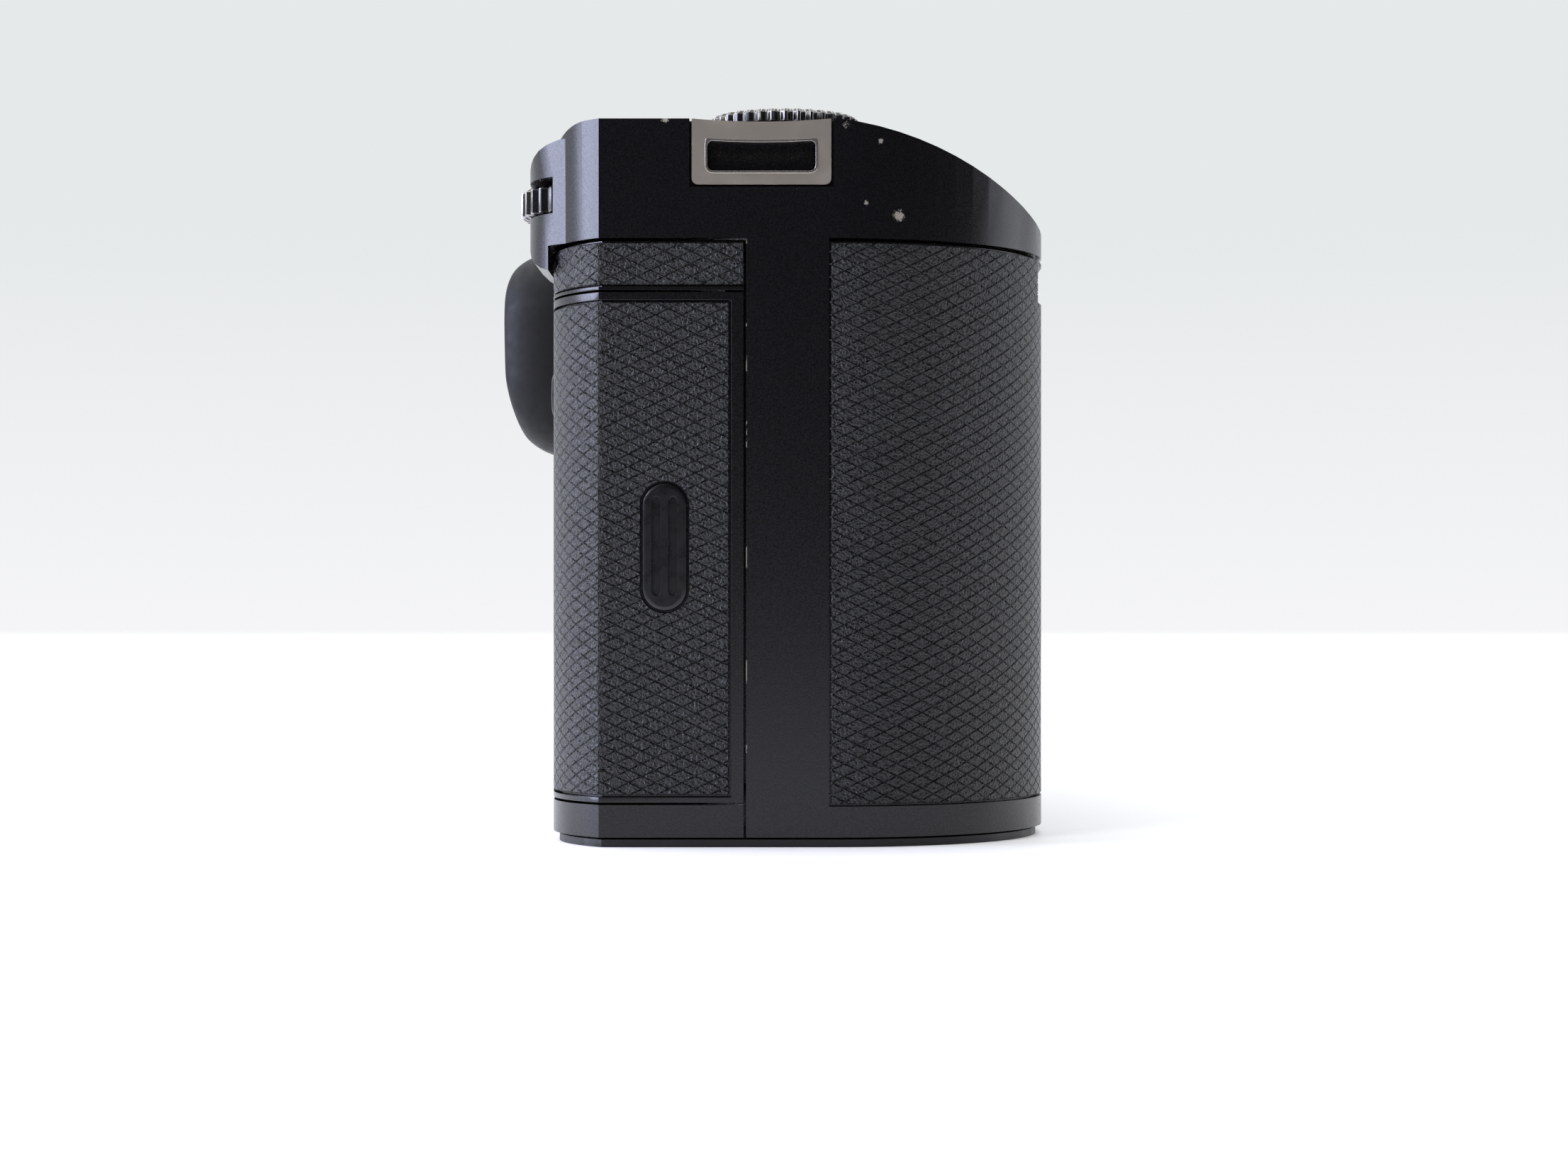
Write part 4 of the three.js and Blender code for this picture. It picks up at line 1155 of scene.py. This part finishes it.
class CameraButtons(bpy.types.Operator):
    """Make the push buttons, the joystick and the focus lever"""
    bl_idname = "camera_body.buttons"
    bl_label = "Buttons, joystick and focus lever"

    def execute(self, context):
        for node in ("play_button", "delete_button", "q_button", "menu_button", "disp_button",
                     "ae_lock_button", "af_button"):
            self.button(node, "Y", 2.9)
        for node in ("fn_button", "drive_button"):
            self.button(node, "Z", 2.6)
        self.joystick()
        self.lens_release()
        self.focus_lever()
        return {"FINISHED"}

    @staticmethod
    def button(node, axis, radius):
        """A round button with a dished face and the flange that holds it in."""
        low, high = span_of(node)
        first, last = (low.y, high.y) if axis == "Y" else (low.z, high.z)
        middle = (low + high) / 2
        piece = turned([
            (first, radius + 0.8), (first + 0.8, radius + 0.8), (first + 0.8, radius), (last - 0.35, radius),
            (last - 0.1, radius - 0.12), (last, radius - 0.4), (last - 0.02, radius - 0.9),
            (last - 0.22, radius - 1.9),
        ], 48)
        spot = (middle.x, 0, middle.z) if axis == "Y" else (middle.x, middle.y, 0)
        stand_in(stand(piece, spot, TURNS[axis]), node, "dished")

    @staticmethod
    def joystick():
        low, high, middle = placed("joystick")
        stem = turned([(low.y, 1.5), (high.y - 2.6, 1.5)], 32)
        head = turned([
            (high.y - 3, 2.5), (high.y - 2.5, 3.0), (high.y - 0.6, 3.2), (high.y, 2.7), (high.y, 2.2),
            (high.y - 0.5, 1.0),
        ], ridges=20, depth=0.3)
        piece = weld(head, stem)
        stand_in(stand(piece, (middle.x, 0, middle.z), TURNS["Y"]), "joystick", "knurled", 0.05, 1)

    @staticmethod
    def lens_release():
        low, high, middle = placed("lens_release_button")
        radius = (high.x - low.x) / 2
        front = -low.y
        piece = turned([
            (-high.y, radius), (front - 0.6, radius), (front - 0.15, radius - 0.2), (front, radius - 0.7),
            (front - 0.05, radius - 1.2), (front - 0.5, radius - 3.2),
        ])
        stand_in(stand(piece, (middle.x, 0, middle.z), TURNS["-Y"]), "lens_release_button", "dished")

    @staticmethod
    def focus_lever():
        low, high, middle = placed("focus_lever")
        radius = (high.x - low.x) / 2
        disc = turned([
            (-high.y, 2), (-high.y + 4.7, 2), (-high.y + 4.7, radius), (-low.y - 1.8, radius),
            (-low.y - 1.5, radius - 0.3), (-low.y - 1.5, radius - 1.2), (-low.y - 1.7, radius - 1.5),
        ])
        tab = soften(brick((-1.2, -5, -low.y - 2.5), (1.2, 5, -low.y)), 0.5, 4)
        piece = weld(disc, tab)
        stand_in(stand(piece, (middle.x, 0, middle.z), TURNS["-Y"]), "focus_lever", "turned", 0.05)


# ---------- Strap lugs, door grip and eyecup ----------

# the strap lug's window, how deep its top is dished, and how far its rim stands proud
LUG = {"width": 14.3, "bottom": 87.1, "top": 91.5, "dish": 0.4, "rim_height": 0.1}


def strap_lug(node, side):
    """A flush nickel frame: dished along its top, with a rounded window whose raised rim is polished."""
    low, high, middle = placed(node)
    outer, inner = (low.x, high.x) if side < 0 else (high.x, low.x)
    face = outer - side * LUG["rim_height"]
    bar = brick((min(face, inner), low.y, low.z), (max(face, inner), high.y, high.z))
    half = (high.y - low.y) / 2
    dish_radius = (half ** 2 + LUG["dish"] ** 2) / (2 * LUG["dish"])
    top_dish = drum(dish_radius, -90, 90, (0, middle.y, high.z - LUG["dish"] + dish_radius), "X", 720)
    bar = bore(bar, top_dish)
    edit(bar, "EDGE", False)
    leave()
    for edge in bar.data.edges:
        a, b = (bar.data.vertices[i].co for i in edge.vertices)
        edge.select = abs(a.x - b.x) > 0.1 * MM and a.z < (low.z + 0.1) * MM
    bpy.ops.object.mode_set(mode="EDIT")
    bpy.ops.mesh.bevel(offset=0.8 * MM, segments=6)
    leave()
    bar = bore(bar, rounded_window((-90, 90), middle.y, 0, dish_radius))
    stand_in(bar, node, "frame", 0.12, 3)
    reach = sorted((outer, outer - side * 0.6))
    rim = rounded_window(reach, middle.y, 0.14, dish_radius)
    rim = bore(rim, rounded_window((reach[0] - 1, reach[1] + 1), middle.y, -0.16, dish_radius))
    soften(rim, 0.1, 3)
    keep(rim, node + "_rim", BODY_OF[node], SLOT_OF[node], finish_name="polished_nickel")


def rounded_window(reach, middle, grow, dish_radius):
    """The window's shape through X, larger all round by grow."""
    low = (reach[0], middle - LUG["width"] / 2 - grow, LUG["bottom"] - grow)
    high = (reach[1], middle + LUG["width"] / 2 + grow, LUG["top"] + grow)
    dish = drum(dish_radius, -90, 90, (0, middle, LUG["top"] + grow - LUG["dish"] + dish_radius), "X", 720)
    body = bore(brick(low, high), dish)
    edit(body, "EDGE", False)
    leave()
    for edge in body.data.edges:
        a, b = (body.data.vertices[i].co for i in edge.vertices)
        from_end = min(abs(a.y / MM - low[1]), abs(a.y / MM - high[1]))
        edge.select = abs(a.x - b.x) > 0.1 * MM and from_end < 0.01
    bpy.ops.object.mode_set(mode="EDIT")
    bpy.ops.mesh.bevel(offset=(0.9 + grow) * MM, segments=6)
    leave()
    return body


class CameraLugs(bpy.types.Operator):
    """Make the strap lugs with their dished bars and polished windows"""
    bl_idname = "camera_body.lugs"
    bl_label = "Strap lugs"

    def execute(self, context):
        strap_lug("strap_lug_right", -1)
        strap_lug("strap_lug_left", 1)
        return {"FINISHED"}


# the two finger grooves: how far apart and wide, how far from the pad's ends, and how deep
PAD_GROOVE = {"apart": 2.15, "width": 1.1, "top": 1.7, "bottom": 2.0, "depth": 0.5}


class CameraDoorPad(bpy.types.Operator):
    """Make the finger grip of the card door: a domed pad with two round-ended grooves"""
    bl_idname = "camera_body.door_pad"
    bl_label = "Card door grip"

    def execute(self, context):
        low, high, middle = placed("card_door_pad")
        up, across = (high.z - low.z) / 2, (high.y - low.y) / 2
        pad = rounded_plate(up, across, across * 0.99, [
            (0.42, up, across), (0.58, up - 0.07, across - 0.07), (0.68, up - 0.24, across - 0.24),
            (0.7, up - 0.6, across - 0.6),
        ])
        stand(pad, (high.x, middle.y, middle.z), TURNS["-X"])
        half = (high.z - PAD_GROOVE["top"] - low.z - PAD_GROOVE["bottom"]) / 2
        rise = (PAD_GROOVE["bottom"] - PAD_GROOVE["top"]) / 2
        width = PAD_GROOVE["width"] / 2
        for side in (-1, 1):
            groove = rounded_plate(half, width, width * 0.99, [(2, half, width)], 6)
            place = (low.x + PAD_GROOVE["depth"], middle.y + side * PAD_GROOVE["apart"] / 2, middle.z + rise)
            pad = bore(pad, stand(groove, place, TURNS["-X"]))
        stand_in(pad, "card_door_pad", "grooved", 0.07, 2)
        return {"FINISHED"}


# height above the back face, half width, half height
EYECUP_STEPS = (
    (0.3, 15.6, 16.6), (1.2, 16.3, 17.3), (5.5, 17.0, 18.0), (10.5, 16.8, 17.9), (14.2, 15.9, 17.0),
    (16.6, 14.3, 15.6), (17.4, 12.9, 14.2), (17.1, 12.0, 13.2), (15.2, 11.6, 12.5), (8.5, 11.2, 11.4),
    (6.9, 10.6, 9.8), (6.7, 10.3, 9.3), (0, 10.3, 9.3),
)


# how far from the middle the rim starts to lean in, and how fast, per square millimetre
EYECUP_LEAN = {"low": 1.0, "below": 0.0166, "high": 8.0, "above": 0.027}


class CameraEyecup(bpy.types.Operator):
    """Make the soft rubber eyecup as one rounded hollow form"""
    bl_idname = "camera_body.eyecup"
    bl_label = "Eyecup"

    def execute(self, context):
        low, high, middle = placed("eyecup")
        width, height = (high.x - low.x) / 2 - 1.8, (high.z - low.z) / 2 - 1.8
        piece = rounded_plate(width, height, 11.5, EYECUP_STEPS)
        edit(piece, "FACE", False)
        leave()
        for face in piece.data.polygons:
            face.select = len(face.vertices) > 4
        bpy.ops.object.mode_set(mode="EDIT")
        bpy.ops.mesh.bridge_edge_loops()
        leave()
        close_up(piece)
        depth = (high.y - low.y) * MM
        for vertex in piece.data.vertices:
            drop = max(0.0, vertex.co.y / MM - EYECUP_LEAN["low"])
            rise = max(0.0, -vertex.co.y / MM - EYECUP_LEAN["high"])
            lean = EYECUP_LEAN["below"] * drop ** 2 + EYECUP_LEAN["above"] * rise ** 2
            vertex.co.z -= lean * MM * max(0.0, vertex.co.z / depth) ** 2
        apply_modifier(piece, "SUBSURF", levels=2, render_levels=2)
        stand(piece, (middle.x, low.y, middle.z), TURNS["Y"])
        stand_in(piece, "eyecup", "moulded", 0, angle=60)
        return {"FINISHED"}


# ---------- Lens mount ----------

# the lens mount's screws and the claws inside it; the sweep is in degrees
MOUNT = {"screw_reach": 35.8, "screws": 6, "claw_inner": 31.2, "claws": 3, "claw_sweep": 52}


class CameraLensMount(bpy.types.Operator):
    """Make the bayonet ring with its claws and screws, and the row of contact pins"""
    bl_idname = "camera_body.lens_mount"
    bl_label = "Lens mount"

    def execute(self, context):
        low, high, middle = placed("lens_mount_ring")
        radius = (high.x - low.x) / 2
        throat = 33
        plate = bore(drum(radius, low.y, high.y, middle, "Y", 160), drum(throat, -40, -20, middle, "Y", 160))
        pin_low, pin_high = span_of("lens_lock_pin")
        pin = (pin_low + pin_high) / 2
        plate = bore(plate, drum(1.2, -40, -20, pin, "Y", 32))
        screws = []
        for i in range(MOUNT["screws"]):
            angle = math.radians(105 + 360 * i / MOUNT["screws"])
            x = middle.x + MOUNT["screw_reach"] * math.cos(angle)
            z = middle.z + MOUNT["screw_reach"] * math.sin(angle)
            plate = bore(plate, drum(SCREW["radius"] + 0.1, low.y - 1, low.y + 0.5, (x, 0, z), "Y", 32))
            screws.append(cross_head_screw((x, low.y + 0.5, z), "Y"))
        stand_in(plate, "lens_mount_ring", "turned", 0.12)
        keep(soften(gather(screws), 0), "mount_screws", BODY_OF["lens_mount_ring"], "bare_steel")
        claws = [self.claw(middle, throat, low.y, i) for i in range(MOUNT["claws"])]
        keep(soften(gather(claws), 0.12), "mount_claws", BODY_OF["lens_mount_ring"], "mount_steel")
        self.contacts()
        return {"FINISHED"}

    @staticmethod
    def claw(middle, throat, front, i):
        """One inner claw of the bayonet, a rectangle swept round the throat."""
        deselect()
        bpy.ops.mesh.primitive_plane_add(size=1)
        piece = bpy.context.object
        piece.scale = ((throat - MOUNT["claw_inner"]) * MM, 1.1 * MM, 1)
        settle(piece)
        stand(piece, ((throat + MOUNT["claw_inner"]) / 2, front + 0.75, 0), (0, 0, 0))
        edit(piece)
        bpy.ops.mesh.spin(
            steps=16, angle=math.radians(MOUNT["claw_sweep"]), center=(0, 0, 0), axis=(0, 1, 0))
        leave()
        close_up(piece)
        return stand(piece, (middle.x, 0, middle.z), (0, math.radians(360 * i / MOUNT["claws"]), 0))

    @staticmethod
    def contacts():
        """The gold pins on their black block."""
        block = merged_copy("mount_contacts")
        soften(block, 0.15)
        keep(block, "mount_contacts_block", BODY_OF["mount_contacts"], "inner_plastic", "mount_contacts")
        low, high = span_of("mount_contacts")
        pins = []
        for i in range(12):
            x = low.x + 3 + (high.x - low.x - 6) * i / 11
            pins.append(stand(turned([(-0.2, 0.55), (0.15, 0.55), (0.3, 0.4), (0.36, 0.2)], 16),
                              (x, (low.y + high.y) / 2 - 2, high.z), TURNS["Z"]))
        keep(soften(gather(pins), 0), "mount_contacts_pins", BODY_OF["mount_contacts"], "gold_contact")


# ---------- Panel ----------

class CameraPanel(bpy.types.Panel):
    """Lists the pieces of the camera body"""
    bl_idname = "VIEW3D_PT_camera_body"
    bl_label = "Camera body"
    bl_space_type = "VIEW_3D"
    bl_region_type = "UI"
    bl_category = "Camera body"

    def draw(self, context):
        for step in STEPS:
            self.layout.operator(step.bl_idname)


STEPS = (
    CameraStage, CameraFrameFinishes, CameraShells, CameraBase, CameraSmallParts, CameraLeather,
    CameraTopDials, CameraWheels, CameraRelease, CameraButtons, CameraLugs, CameraDoorPad, CameraEyecup,
    CameraLensMount,
)
SETTINGS = {
    "camera_stage": StageSettings,
    "camera_finish": FinishSettings,
    "camera_leather": LeatherSettings,
}


def register():
    for name, group in SETTINGS.items():
        bpy.utils.register_class(group)
        setattr(bpy.types.Scene, name, bpy.props.PointerProperty(type=group))
    for made in (*STEPS, CameraPanel):
        bpy.utils.register_class(made)


def unregister():
    for made in (CameraPanel, *reversed(STEPS)):
        bpy.utils.unregister_class(made)
    for name, group in SETTINGS.items():
        delattr(bpy.types.Scene, name)
        bpy.utils.unregister_class(group)


def main():
    register()
    for step in STEPS:
        area, action = step.bl_idname.split(".")
        getattr(getattr(bpy.ops, area), action)()


if __name__ == "__main__":
    main()
